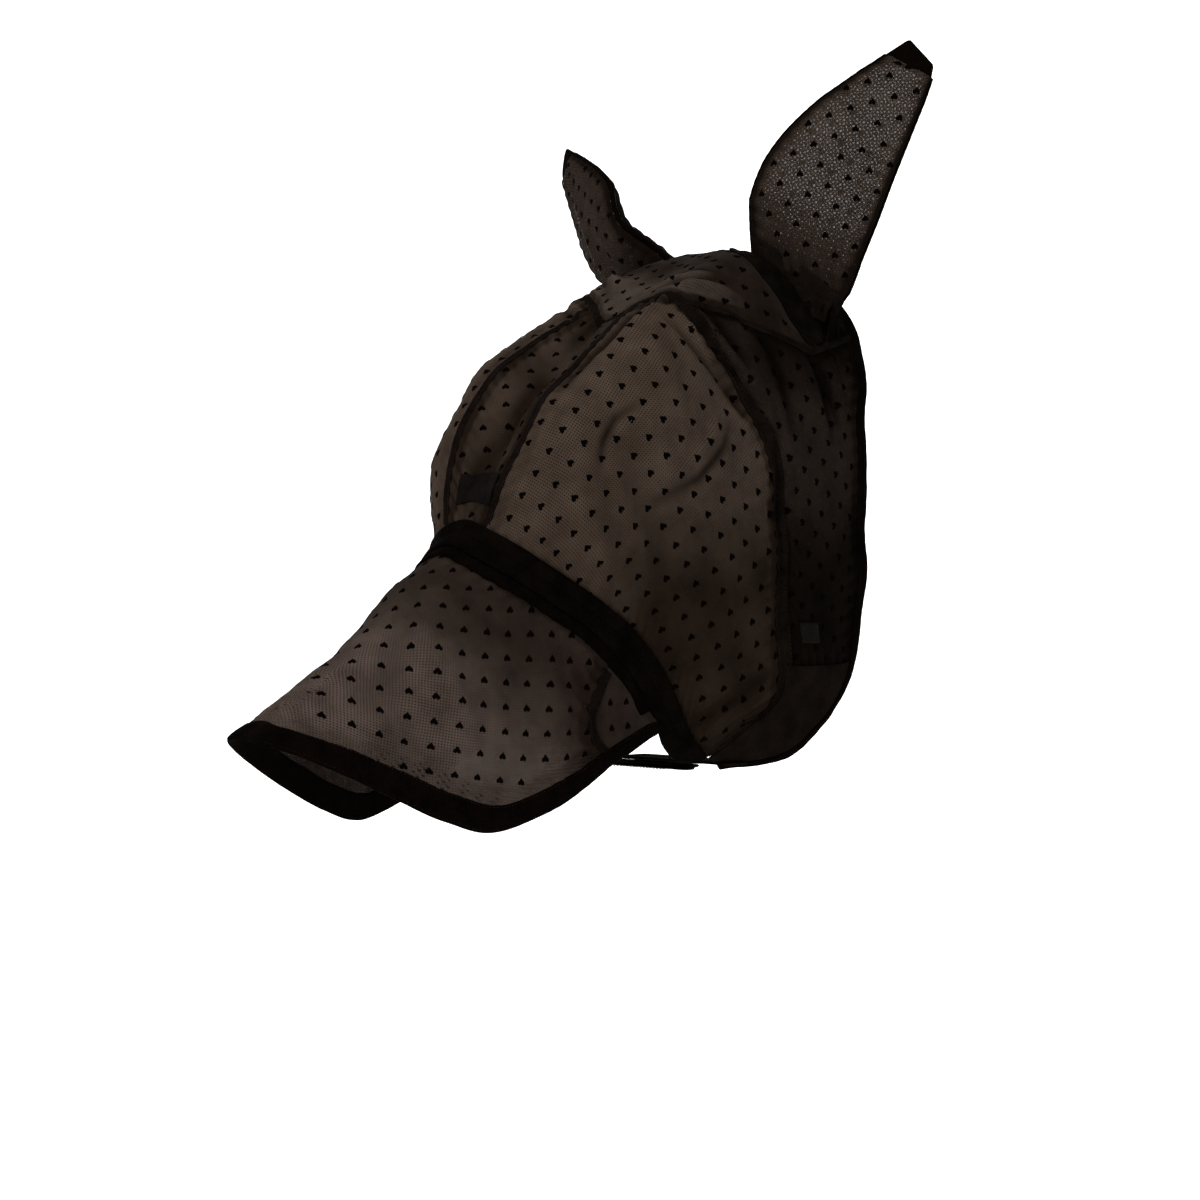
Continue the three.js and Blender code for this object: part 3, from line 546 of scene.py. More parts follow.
def stitches(name, lines, material, length=2.3, gap=1.1, wide=0.7, high=0.45):
    """Rows of short raised threads. Each line is (points, normals) on the surface."""
    verts, faces = [], []
    for P, N in lines:
        d = np.concatenate([[0], np.cumsum(np.linalg.norm(np.diff(P, axis=0), axis=1))])
        at = lambda s: (np.array([np.interp(s, d, P[:, k]) for k in range(3)]), unit(np.array([np.interp(s, d, N[:, k]) for k in range(3)])))
        s = gap
        while s + length < d[-1]:
            (a, na), (m, nm), (b, nb) = at(s), at(s + length / 2), at(s + length)
            side = unit(np.cross(nm, b - a)) * wide / 2
            o = len(verts)
            verts += [a - na * 0.15, a + na * 0.1 + side * 0.7, m + nm * 0.02 + side, b + nb * 0.1 + side * 0.7, b - nb * 0.15,
                      b + nb * 0.1 - side * 0.7, m + nm * 0.02 - side, a + na * 0.1 - side * 0.7, m + nm * high, m - nm * 0.2]
            ring = [o, o + 1, o + 2, o + 3, o + 4, o + 5, o + 6, o + 7]
            for i in range(8):
                j = (i + 1) % 8
                faces.append((ring[i], ring[j], o + 8))
                faces.append((ring[j], ring[i], o + 9))
            s += length + gap
    return mesh_object(name, verts, faces, material)


def crowned(lo, hi, power=0.5, edge=0.0):
    return lambda u, v: lerp(lo, hi, np.clip(1 - np.abs(2 * v - 1) ** 2.6, 0, 1) ** power)


# ----------------------------------------------------------------- materials
def node_tree(name):
    m = bpy.data.materials.new(name)
    m.use_nodes = True
    t = m.node_tree
    t.nodes.clear()
    out = t.nodes.new("ShaderNodeOutputMaterial")
    b = t.nodes.new("ShaderNodeBsdfPrincipled")
    t.links.new(b.outputs[0], out.inputs[0])
    return m, t, b


def math_node(t, op, a, b=None, c=None):
    n = t.nodes.new("ShaderNodeMath")
    n.operation = op
    for i, x in enumerate((a, b, c)):
        if x is None:
            continue
        if isinstance(x, (int, float)):
            n.inputs[i].default_value = x
        else:
            t.links.new(x, n.inputs[i])
    return n.outputs[0]


def noise(t, scale, detail=3.0, rough=0.55, vector=None):
    n = t.nodes.new("ShaderNodeTexNoise")
    n.inputs["Scale"].default_value = scale
    n.inputs["Detail"].default_value = detail
    n.inputs["Roughness"].default_value = rough
    if vector is None:
        c = t.nodes.new("ShaderNodeTexCoord")
        vector = c.outputs["Object"]
    t.links.new(vector, n.inputs["Vector"])
    return n


def ramp(t, fac, stops):
    r = t.nodes.new("ShaderNodeValToRGB")
    while len(r.color_ramp.elements) < len(stops):
        r.color_ramp.elements.new(0.5)
    for e, (p, col) in zip(r.color_ramp.elements, stops):
        e.position = p
        e.color = (*col, 1)
    t.links.new(fac, r.inputs[0])
    return r.outputs[0]


def bump(t, height, strength, distance, target):
    b = t.nodes.new("ShaderNodeBump")
    b.inputs["Strength"].default_value = strength
    b.inputs["Distance"].default_value = distance
    t.links.new(height, b.inputs["Height"])
    t.links.new(b.outputs[0], target.inputs["Normal"])


def cloth_uv(t):
    """The flat cloth's two coordinates, in millimetres."""
    u = t.nodes.new("ShaderNodeUVMap")
    u.uv_map = "cloth"
    s = t.nodes.new("ShaderNodeVectorMath")
    s.operation = "SCALE"
    s.inputs["Scale"].default_value = 100.0
    t.links.new(u.outputs[0], s.inputs[0])
    return s.outputs[0]


def thread_wave(t, coord, pitch):
    f = math_node(t, "FRACT", math_node(t, "MULTIPLY", coord, 1.0 / pitch))
    return math_node(t, "MULTIPLY", math_node(t, "ABSOLUTE", math_node(t, "SUBTRACT", f, 0.5)), 2.0)


def net_material(name, cover, dark, light, pitch=2.1, spec=0.004, rough=0.75, sheen=0.0, film=0.0):
    """Open square net: threads hide `cover` of the area, the rest is holes."""
    m, t, b = node_tree(name)
    uv = cloth_uv(t)
    wob = noise(t, 0.045, 2.0, 0.5, uv)
    off = t.nodes.new("ShaderNodeVectorMath")
    off.operation = "MULTIPLY_ADD"
    t.links.new(wob.outputs["Color"], off.inputs[0])
    off.inputs[1].default_value = (1.6, 1.6, 0)
    t.links.new(uv, off.inputs[2])
    sep = t.nodes.new("ShaderNodeSeparateXYZ")
    t.links.new(off.outputs[0], sep.inputs[0])
    wx, wy = thread_wave(t, sep.outputs[0], pitch), thread_wave(t, sep.outputs[1], pitch)
    hole = math.sqrt(max(0.0, 1 - cover))
    top = math_node(t, "MAXIMUM", wx, wy)
    # The point attribute "shade" closes the holes and darkens the threads. It carries painted shade and painted
    # highlight as well as doubled cloth and dark piping.
    att = t.nodes.new("ShaderNodeAttribute")
    att.attribute_name = "shade"
    sh = att.outputs["Fac"]
    alpha = math_node(t, "GREATER_THAN", top, math_node(t, "MULTIPLY", math_node(t, "SUBTRACT", 1.0, math_node(t, "MULTIPLY", sh, 0.8)), hole))
    if film > 0:
        alpha = math_node(t, "MAXIMUM", alpha, film)
    t.links.new(alpha, b.inputs["Alpha"])
    tone = noise(t, 38.0, 4.0, 0.6)
    fleck = noise(t, 1.9, 2.0, 0.6, uv)
    mixed = math_node(t, "ADD", math_node(t, "MULTIPLY", tone.outputs[0], 0.6), math_node(t, "MULTIPLY", fleck.outputs[0], 0.4))
    mix = t.nodes.new("ShaderNodeMixRGB")
    mix.blend_type = "MULTIPLY"
    t.links.new(sh, mix.inputs[0])
    t.links.new(ramp(t, mixed, [(0.32, dark), (0.68, light)]), mix.inputs[1])
    mix.inputs[2].default_value = (0.17, 0.15, 0.135, 1)
    t.links.new(mix.outputs[0], b.inputs["Base Color"])
    b.inputs["Roughness"].default_value = rough
    b.inputs["Specular IOR Level"].default_value = spec
    b.inputs["Sheen Weight"].default_value = sheen
    b.inputs["Sheen Roughness"].default_value = 0.5
    bump(t, math_node(t, "SUBTRACT", top, hole), 0.35, 0.0004, b)
    return m


def cloth_material(name, dark, light, weave=1.1, depth=0.0003, spec=0.004, rough=0.88, sheen=0.0, pile=0.0, uvs=True, twill=True):
    m, t, b = node_tree(name)
    if uvs:
        uv = cloth_uv(t)
    else:
        c = t.nodes.new("ShaderNodeTexCoord")
        s = t.nodes.new("ShaderNodeVectorMath")
        s.operation = "SCALE"
        s.inputs["Scale"].default_value = 1000.0
        t.links.new(c.outputs["Object"], s.inputs[0])
        uv = s.outputs[0]
    sep = t.nodes.new("ShaderNodeSeparateXYZ")
    t.links.new(uv, sep.inputs[0])
    if twill:
        a = math_node(t, "ADD", sep.outputs[0], sep.outputs[1])
        h1 = thread_wave(t, a, weave)
        h2 = thread_wave(t, sep.outputs[0], weave * 0.5)
        h = math_node(t, "ADD", math_node(t, "MULTIPLY", h1, 0.6), math_node(t, "MULTIPLY", h2, 0.4))
    else:
        h1 = thread_wave(t, sep.outputs[0], weave)
        h2 = thread_wave(t, sep.outputs[1], weave)
        h = math_node(t, "MULTIPLY", h1, h2)
    fuzz = noise(t, 900.0 if pile else 420.0, 4.0, 0.65)
    lump = noise(t, 60.0, 3.0, 0.5)
    height = math_node(t, "ADD", math_node(t, "MULTIPLY", h, 1.0 - 0.8 * pile), math_node(t, "MULTIPLY", fuzz.outputs[0], 0.5 + 2.0 * pile))
    mixed = math_node(t, "ADD", math_node(t, "MULTIPLY", lump.outputs[0], 0.55), math_node(t, "MULTIPLY", fuzz.outputs[0], 0.45))
    t.links.new(ramp(t, mixed, [(0.34, dark), (0.66, light)]), b.inputs["Base Color"])
    r = math_node(t, "ADD", math_node(t, "MULTIPLY", lump.outputs[0], 0.16), rough - 0.08)
    t.links.new(r, b.inputs["Roughness"])
    b.inputs["Specular IOR Level"].default_value = spec
    b.inputs["Sheen Weight"].default_value = sheen
    b.inputs["Sheen Roughness"].default_value = 0.45
    bump(t, height, 0.7, depth, b)
    return m


NET = net_material("fly_net", 0.78, (0.0185, 0.0128, 0.0091), (0.0440, 0.0312, 0.0230))
NET_JOWL = net_material("fly_net_jowl", 0.82, (0.0046, 0.0031, 0.0022), (0.0115, 0.0080, 0.0058))
NET_CROWN = net_material("fly_net_crown", 0.80, (0.0175, 0.0126, 0.0097), (0.0480, 0.0360, 0.0290))
NET_EAR = net_material("ear_net", 0.50, (0.0120, 0.0083, 0.0062), (0.0270, 0.0194, 0.0149), pitch=2.6, film=0.47)
NET_FLAP = net_material("flap_net", 0.77, (0.0225, 0.0158, 0.0124), (0.0560, 0.0415, 0.0340))
UNDER = net_material("under_net", 0.90, (0.0070, 0.0047, 0.0034), (0.0170, 0.0118, 0.0087), film=0.94)
UNDER_FLAP = net_material("under_net_flap", 0.88, (0.0080, 0.0055, 0.0041), (0.0190, 0.0134, 0.0102), film=0.82)
FLOCK = cloth_material("heart_flock", (0.0003, 0.0002, 0.0001), (0.0011, 0.0006, 0.0004), uvs=False, pile=0.6)
BIND = cloth_material("binding_knit", (0.0004, 0.0002, 0.0001), (0.0018, 0.0011, 0.0008), weave=0.9, depth=0.00025)
TAPE = cloth_material("seam_tape_weave", (0.0012, 0.0008, 0.0006), (0.0046, 0.0031, 0.0023), weave=1.3, depth=0.0003)
PLAIN = cloth_material("plain_cloth", (0.0016, 0.0011, 0.0008), (0.0050, 0.0035, 0.0026), weave=0.8, depth=0.0002)
LINING = cloth_material("lining_cloth", (0.0007, 0.0005, 0.0004), (0.0028, 0.0020, 0.0015), weave=0.9, depth=0.0003, pile=0.5)
BAND = cloth_material("band_plush", (0.0004, 0.0003, 0.0002), (0.0022, 0.0014, 0.0010), depth=0.0006, pile=0.7)
FLEECE = cloth_material("fleece_pile", (0.0018, 0.0012, 0.0009), (0.0074, 0.0052, 0.0040), depth=0.0012, pile=1.0, sheen=0.01)
THREAD = cloth_material("thread", (0.0024, 0.0017, 0.0013), (0.0080, 0.0058, 0.0045), uvs=False, weave=0.5, spec=0.02, rough=0.6)
LABEL = cloth_material("label_weave", (0.0009, 0.0006, 0.0005), (0.0034, 0.0024, 0.0020), weave=0.7, depth=0.0002, spec=0.01, rough=0.6, twill=False)
HOOK = cloth_material("hook_tape", (0.0030, 0.0023, 0.0019), (0.0090, 0.0072, 0.0062), weave=1.6, depth=0.0010, spec=0.05, rough=0.6, twill=False)
LOOP = cloth_material("loop_tape", (0.0026, 0.0020, 0.0016), (0.0085, 0.0066, 0.0056), weave=1.6, depth=0.0009, pile=0.9)

# Directions that the rows of hearts run in, on the object's near side.
A_, E_ = math.radians(43), math.radians(1.5)
BACK = np.array([math.sin(A_) * math.cos(E_), -math.cos(A_) * math.cos(E_), math.sin(E_)])
RIGHT = np.array([math.cos(A_), math.sin(A_), 0.0])
UP = np.cross(BACK, RIGHT)


def mirrored(d, k):
    return np.array(d, float) * [k, 1, 1]


GAP = 0.35
SIDES = [("left", 1), ("right", -1)]


def on_mask(o, *nodes, slot=None):
    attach(o, "mask")
    if nodes:
        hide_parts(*nodes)
    return o


def on_flap(o, *nodes, slot=None):
    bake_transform(o)
    if nodes:
        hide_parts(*nodes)
    return o


def declare(cloth):
    w, l, area = cloth.flat_size()


# --------------------------------------------------------------- face panels
def forehead_fn(u, v):
    side = lerp(-1, 1, u)
    a = np.minimum(np.abs(side), 1)
    r = face.row(a, lerp(GAP, face.len(a) - 2.0, v))
    c = side * (1 - GAP / face.dc(r, 1))
    return face.p(r, c), face.n(r, c)


fore = Cloth(forehead_fn, 28, 70, along=RIGHT * 0.99 + UP * 0.07, coarse=(14, 26), edges=(0.35, 0.35, 0.5, 0.35), reach=9)
fore.shade = np.clip(fore.shade + painted_brow_shade(fore.P), 0, 1)
o = on_mask(fore.sheet("forehead_net", NET), "forehead_panel", slot="heart_mesh")
h = on_mask(fore.marks("forehead_hearts", FLOCK, 18.2, turn=0.15, spin=0.15), slot="heart_mesh")
declare(fore)

for name, k in SIDES:

    def cheek_fn(u, v, k=k):
        c = lerp(1.0, 9.97, u)
        r = face.row(c, lerp(GAP, face.len(c) - 2.0, v))
        c = c + np.where(u == 0, GAP / face.dc(r, 1), 0)
        return face.p(r, c * k), face.n(r, c * k)

    cheek = Cloth(cheek_fn, 170, 64, along=mirrored(RIGHT * 0.52 + UP * 0.32, k) if k > 0 else mirrored(RIGHT * 0.52 + UP * 0.32, -1), ref=(0.52, 0.5), coarse=(44, 16), edges=(0.25, 0.0, 0.62, 0.4), reach=13)
    cheek.shade = np.clip(cheek.shade + painted_head_shade(cheek.P), 0, 1)
    o = on_mask(cheek.sheet(f"cheek_net_{name}", NET), f"cheek_panel_{name}", slot="heart_mesh")
    h = on_mask(cheek.marks(f"cheek_hearts_{name}", FLOCK, 18.2, spin=0.0 if k > 0 else 0.4), slot="heart_mesh")
    declare(cheek)


# --------------------------------------------------------------- crown panel
EAR = [[-10, -38, 35, 12], [0, -40, 34, 12.5], [16, -50, 37, 14], [42, -65, 33.6, 14.5], [75, -69, 30.4, 13.5],
       [106, -63.5, 26.4, 11.5], [139, -51, 23, 9], [171, -33.5, 19.8, 6], [188, -23.5, 17.2, 4.2], [203, -12.6, 13.8, 3]]
EAR_O, EAR_X, EAR_Z = np.array([67.0, 39, -22]), np.array([0.7517, 0.4510, -0.4811]), np.array([0.4414, 0.1877, 0.8774])
EAR_TIP, EAR_LEN = 188.0, 203.0


def ear_frame(k):
    Y = np.cross(EAR_Z, EAR_X)
    m = np.array([k, 1.0, 1.0])
    return EAR_O * m, EAR_X * m, Y * m, EAR_Z * m


def ear_row(t):
    t = np.asarray(t, float)
    T = np.array(EAR)
    i = np.clip((T[None, :, 0] < t.reshape(-1, 1)).sum(1) - 1, 0, len(T) - 2).reshape(t.shape)
    g = lambda j: T[np.clip(j, 0, len(T) - 1)]
    f = ((t - T[i, 0]) / (T[i + 1, 0] - T[i, 0]))[..., None]
    a, b, c, d = g(i - 1)[..., 1:], g(i)[..., 1:], g(i + 1)[..., 1:], g(i + 2)[..., 1:]
    return lerp(b, c, f) + 0.1 * f * (1 - f) * ((b - a) - (d - c)) * 2


LOW, HIGH = unit(np.array([-0.967, -0.2537, 0.0252])), unit(np.array([-0.5998, 0.228, 0.767]))
_O, _X, _Y, _Z = ear_frame(-1)
slump = []
_P = _O + 22 * _Z - 14 * LOW
for t in range(0, 224):
    z = unit(lerp(LOW, HIGH, float(smooth(t / 120))))
    if t > 0:
        _P = _P + z
    x = unit(_X - z * (_X @ z))
    slump.append((_P.copy(), x, np.cross(x, z), z))
SL = [np.array([s[m] for s in slump]) for m in range(4)]


def sleeve(k, t):
    t = np.asarray(t, float)
    if k > 0:
        O, X, Y, Z = ear_frame(1)
        return O + Z * t[..., None], X + 0 * t[..., None], Y + 0 * t[..., None], Z + 0 * t[..., None]
    out = []
    i = np.clip(np.floor(t).astype(int), 0, len(slump) - 2)
    f = (t - i)[..., None]
    for m in range(4):
        q = SL[m][i] * (1 - f) + SL[m][i + 1] * f
        out.append(q if m == 0 else unit(q))
    return out


def pinch(k, t, x):
    """The slumped pocket is gathered on its inner side, low down."""
    if k > 0:
        return x
    return np.where(x < 0, x * (1 - 0.46 * (1 - smooth(t / 115))), x)


def ear_point(k, t, x, y):
    """Point of the pocket's wall at height t, at x across and y through it. Low down it closes in on the ear hole's ring."""
    x = pinch(k, t, x)
    O, X, Y, Z = sleeve(k, t * (1.0 if k > 0 else 0.915))
    P = O + X * x[..., None] + Y * y[..., None]
    if k < 0:
        o2, x2, y2, z2 = ear_frame(-1)
        Q = o2 + x2 * x[..., None] + y2 * y[..., None] + z2 * t[..., None] * 0.55
        w = smooth((t - 3) / 46)[..., None]
        P = Q * (1 - w) + P * w
        s = smooth((t - 3) / 46)[..., None]
        Y = unit(y2 * (1 - s) + Y * s)
        X = unit(x2 * (1 - s) + X * s)
    return P, X, Y


def crown_fn(u, v):
    side = lerp(-1, 1, u)
    a = np.abs(side)
    c_ref = a * 3
    sr = rear.row(3.0, lerp(GAP, rear.len(3.0) - NECK_W + 2, v))
    r = lerp(rear.row(c_ref, lerp(GAP, rear.len(c_ref) - NECK_W + 2, v)), sr, a)
    edge = split(r)
    c = side * (edge - GAP / rear.dc(r, edge))
    return rear.p(r, c), rear.n(r, c)


crown = Cloth(crown_fn, 110, 56, along=RIGHT * 0.95 + UP * 0.1, coarse=(36, 16), edges=(0.5, 0.5, 0.6, 0.6), reach=12, base=0.12)
crown.shade = np.clip(crown.shade + painted_head_shade(crown.P), 0, 1)
lens0 = ear_row(np.array(0.0))
keep = np.ones((crown.nu, crown.nv), bool)
inside_any = np.zeros(crown.P.shape[:2], bool)
for k in (1, -1):
    O, X, Y, Z = ear_frame(k)
    d = crown.P - O
    la = float(pinch(k, 0.0, np.array(lens0[0])))
    mid, hx, hy = (la + lens0[1]) / 2, (lens0[1] - la) / 2 + 0.2, lens0[2] + 0.2
    x, y, z = d @ X - mid, d @ Y, d @ Z
    q = np.sqrt((x / hx) ** 2 + (y / hy) ** 2)
    inside = (q < 1) & (np.abs(z) < 60)
    corners = inside[:-1, :-1] & inside[1:, :-1] & inside[1:, 1:] & inside[:-1, 1:]
    keep &= ~corners
    s = np.where(inside & (q > 0.15), 1 / np.maximum(q, 0.15) - 1, 0)[..., None]
    crown.P = crown.P + s * (X * x[..., None] + Y * y[..., None])
crown.keep = keep
o = on_mask(crown.sheet("crown_net", NET_CROWN), "crown_panel", slot="heart_mesh")
h = on_mask(crown.marks("crown_hearts", FLOCK, 18.2, turn=0.5, spin=0.2), slot="heart_mesh")
declare(crown)

# Dark plain cloth over the crown, round each ear hole.
crown_tree = BVHTree.FromPolygons([tuple(map(float, p)) for p in crown.P.reshape(-1, 3)], grid_quads(crown.nu, crown.nv).tolist())
for name, k in SIDES:
    O, X, Y, Z = ear_frame(k)
    la = float(pinch(k, 0.0, np.array(lens0[0])))
    mid, hx, hy = (la + lens0[1]) / 2, (lens0[1] - la) / 2, lens0[2]
    nr, na = 14, 96
    rows, norms = [], []
    for i in range(nr + 1):
        for j in range(na):
            a = j / na * 2 * math.pi
            wide = 30.0 + 9 * math.cos(a * 2) + 6 * max(0.0, -math.sin(a)) + 1.2 * math.sin(5 * a)
            g = lerp(-0.5, wide, i / nr)
            p = O + X * (mid + (hx + g * 0.55) * math.cos(a)) + Y * ((hy + g) * math.sin(a))
            hit = None
            for lift in (90.0, 60.0):
                hit, nn, _, _ = crown_tree.ray_cast(Vector(p + Z * lift), Vector(-Z), 170.0)
                if hit is not None:
                    break
            if hit is None:
                hit, nn, _, _ = crown_tree.find_nearest(Vector(p))
            nn = np.array(nn)
            nn = nn * (1 if nn @ (np.array(hit) - np.array([0.0, 0.0, -150.0])) > 0 else -1)
            rows.append(np.array(hit))
            norms.append(nn)
    rows, norms = np.array(rows), np.array(norms)
    quads = np.array([(i * na + j, i * na + (j + 1) % na, (i + 1) * na + (j + 1) % na, (i + 1) * na + j) for i in range(nr) for j in range(na)])
    verts, faces, used = closed(rows + norms * (2.0 + 0.5 * np.sin(0.45 * rows[:, :1] + 0.3 * rows[:, 1:2])), rows + norms * 0.9, quads)
    uv = np.array([[j * 1.9, i * 2.0] for i in range(nr + 1) for j in range(na)] * 2)[used]
    on_mask(mesh_object(f"ear_surround_{name}", verts, faces, LINING, uv), slot="plain_cloth")

# --------------------------------------------------------- jowl and closures
PAD_C = 7.72
for name, k in SIDES:

    def jowl_fn(u, v, k=k):
        r0 = rear.row(3.0, lerp(GAP, rear.len(3.0) - NECK_W + 2, v))
        top = split(r0)
        top = top + GAP / rear.dc(r0, top)
        c = lerp(top, PAD_C + 0.02, u)
        s = lerp(GAP, rear.len(c) - NECK_W + 2, v)
        r = np.minimum(lerp(r0, rear.row(c, s), np.minimum(1, u * 3)), rear.row(c, rear.len(c) - NECK_W + 2))
        return rear.p(r, c * k), rear.n(r, c * k)

    jowl = Cloth(jowl_fn, 96, 36, along=mirrored(RIGHT * 0.62 + UP * 0.78, 1), ref=(0.55, 0.5), coarse=(32, 12), edges=(0.6, 0.3, 0.45, 0.5), reach=9)
    jowl.shade = np.clip(jowl.shade + painted_head_shade(jowl.P), 0, 1)
    o = on_mask(jowl.sheet(f"jowl_net_{name}", NET_JOWL), f"jowl_panel_{name}", slot="heart_mesh")
    h = on_mask(jowl.marks(f"jowl_hearts_{name}", FLOCK, 17.4, spin=0.7), slot="heart_mesh")
    declare(jowl)

    def pad_fn(u, v, k=k):
        c = lerp(PAD_C - 0.05, 9.97, u)
        r = rear.row(c, lerp(GAP, rear.len(c) - NECK_W + 1.5, v))
        return rear.p(r, c * k), rear.n(r, c * k)

    pad = Cloth(pad_fn, 60, 30, along=(0, 1, 0), coarse=(20, 10))
    o = on_mask(pad.sheet(f"closure_cloth_{name}", PLAIN, 0.1, 1.9), f"closure_panel_{name}", slot="plain_cloth")
    declare(pad)

# ----------------------------------------------------------------- seam tapes
seam_lines = []


def seam_fn(c0, c1, k, half):
    def fn(u, v):
        c = lerp(c0, c1, u) * k
        w = (v - 0.5) * 2 * half
        rf, rr = face.row(c, np.maximum(-w, 0)), rear.row(c, np.maximum(w, 0))
        P = np.where((w < 0)[..., None], face.p(rf, c), rear.p(rr, c))
        nf, nr = face.n(rf, c), rear.n(rr, c)
        n0 = unit(face.n(0 * c, c) + rear.n(0 * c, c))
        N = np.where((w < 0)[..., None], nf, nr)
        return P, unit(N * 0.65 + n0 * 0.35)

    return fn


def edge_stitches(fn, at, height, n=160):
    """Stitch lines along a band, at those places across it."""
    for v in at:
        u = np.linspace(0.01, 0.99, n)
        P, N = fn(u, np.full(n, float(v)))
        P = P + N * fold_height(P)[..., None]
        seam_lines.append((P + N * height, N))


def tape(name, node, fn, nu, nv, lo, hi, stitch=(0.12, 0.88), material=None, ridge=None):
    o = strip(name, fn, nu, nv, lo, hi, material or TAPE)
    on_mask(o, node, slot="seam_tape")
    edge_stitches(fn, stitch, hi if not callable(hi) else 1.5)
    return o


tape("crown_seam", "crown_seam_tape", seam_fn(-2.02, 2.02, 1, 4), 70, 6, 0.75, 1.55)
for name, k in SIDES:
    tape(f"eye_dart_{name}", f"eye_dart_tape_{name}", seam_fn(1.95, 4.55, k, 6), 60, 8, 0.75, 1.6, stitch=(0.1, 0.5, 0.9))
    tape(f"cheek_seam_{name}", f"cheek_seam_tape_{name}", seam_fn(4.45, 9.9, k, 7.4), 150, 10, 0.75, lambda u, v: 1.35 + 0.55 * np.exp(-(((v - 0.2) / 0.07) ** 2)) + 0.55 * np.exp(-(((v - 0.8) / 0.07) ** 2)), stitch=(0.08, 0.92))

    def jowl_seam_fn(u, v, k=k):
        c_ref = 2.6
        r = rear.row(c_ref, lerp(5.0, rear.len(c_ref) - NECK_W + 1, u))
        m = split(r)
        c = m + (v - 0.5) * 8 / rear.dc(r, m)
        return rear.p(r, c * k), rear.n(r, c * k)

    tape(f"jowl_seam_{name}", f"jowl_seam_tape_{name}", jowl_seam_fn, 50, 6, 0.75, 1.5)

    def forehead_seam_fn(u, v, k=k):
        r = face.row(1.0, lerp(5.0, face.len(1.0) - BAND_HALF + 1, u))
        c = 1 + (v - 0.5) * 6 / face.dc(r, 1)
        return face.p(r, c * k), face.n(r, c * k)

    tape(f"forehead_seam_{name}", f"forehead_seam_tape_{name}", forehead_seam_fn, 80, 6, 0.75, 1.35)


# ------------------------------------------------------------------ bindings
def edge_fn(net, c0, c1, k, s0, s1):
    def fn(u, v):
        c = lerp(c0, c1, u) * k
        L = net.len(c)
        return net.at(c, lerp(s0(L), s1(L), v))

    return fn


def ripple(amount, a=0.35, b=0.8):
    return lambda P: amount * (np.sin(a * P[..., 1] + b * P[..., 2] + 0.5 * P[..., 0]) * 0.5 + 0.5 * np.sin(b * P[..., 1] - a * P[..., 2]))


fn = edge_fn(rear, -3.16, 3.16, 1, lambda L: L - NECK_W, lambda L: L)
on_mask(strip("poll_edge", fn, 120, 12, crowned(-0.2, -1.7), crowned(0.8, 3.1), BIND, bump=ripple(0.12)), "poll_edge_binding", slot="plain_cloth")
edge_stitches(fn, (0.2,), 2.3, 220)
for name, k in SIDES:
    fn = edge_fn(rear, 3.14, 9.95, k, lambda L: L - np.minimum(NECK_W, 0.7 * L), lambda L: L)
    on_mask(strip(f"neck_edge_{name}", fn, 230, 12, crowned(-0.2, -1.7), crowned(0.8, 3.2), BIND, bump=ripple(0.12)), f"neck_edge_binding_{name}", slot="plain_cloth")
    edge_stitches(fn, (0.18,), 2.2, 360)


# ----------------------------------------------------------------- nose band
def band_fn(half, c_end):
    def fn(u, v):
        c = lerp(-c_end, c_end, u)
        w = (v - 0.5) * 2 * half
        L = face.len(c)
        cf = np.clip(c, -9, 9)
        low = smooth((np.abs(c) - 8.0) / 0.9)  # below the flap the band runs straight on from the cheek
        rf, rg = face.row(c, L + np.minimum(w, 0)), flap.row(cf, np.maximum(w, 0) + 0.01)
        edge = face.p(4 + 0 * c, c)
        out = unit(edge - face.p(face.row(c, L - 3), c))
        nf0, ng0 = face.n(4 + 0 * c, c), flap.n(0.02 + 0 * c, cf)
        n0 = unit(nf0 + ng0 * (1 - low)[..., None])
        Pf = flap.p(rg, cf)
        Pb = lerp(Pf, edge + out * np.maximum(w, 0)[..., None], low[..., None])
        P = np.where((w < 0)[..., None], face.p(rf, c), Pb)
        Nf = flap.n(rg, cf)
        Nb = unit(lerp(Nf, nf0, low[..., None]))
        N = np.where((w < 0)[..., None], face.n(rf, c), Nb)
        return P, unit(N * 0.4 + n0 * 0.6)

    return fn


def pile(amount, f=1.0):
    def fn(P):
        x, y, z = P[..., 0] * f, P[..., 1] * f, P[..., 2] * f
        a = np.sin(1.31 * x + 0.9 * y) * np.sin(1.17 * y - 0.8 * z) + np.sin(0.77 * z + 1.43 * x + 2)
        b = np.sin(2.3 * x - 1.9 * z + 1) * np.sin(2.1 * y + 1.7 * z)
        return amount * (0.5 * a + 0.5 * b)

    return fn


fn = band_fn(BAND_HALF, 9.86)
band = on_mask(strip("nose_band", fn, 300, 18, 2.0, crowned(3.2, 5.9, 0.6), BAND, bump=pile(0.26)), "nose_band_cover", slot="plain_cloth")
fn = band_fn(BAND_HALF - 0.4, 8.9)
pad = on_mask(strip("nose_band_fleece_pad", fn, 300, 16, lambda u, v: crowned(-3.4, -7.0)(u, v), -0.6, FLEECE), "nose_band_fleece", slot="fleece")
co = np.array([v.co for v in pad.data.vertices]) / MM
shift = pile(0.5, 0.8)(co)
nrm = np.array([v.normal for v in pad.data.vertices])
pad.data.vertices.foreach_set("co", ((co + nrm * shift[:, None]) * MM).astype(np.float32).ravel())
pad.data.update()

# ----------------------------------------------------------------- nose flap
flap_stitches = []
DART = [6.1, 7.8]


def flap_in(c, t):
    L = flap.len(c)
    return lerp(np.minimum(FLAP_START - 6, L * 0.3), L - np.minimum(HEM_W - 3, L * 0.45), t)


def flap_fn(u, v):
    c = lerp(-1, 1, u) * (lerp(DART[0], DART[1], v) - 0.008)
    return flap.at(c, flap_in(c, v))


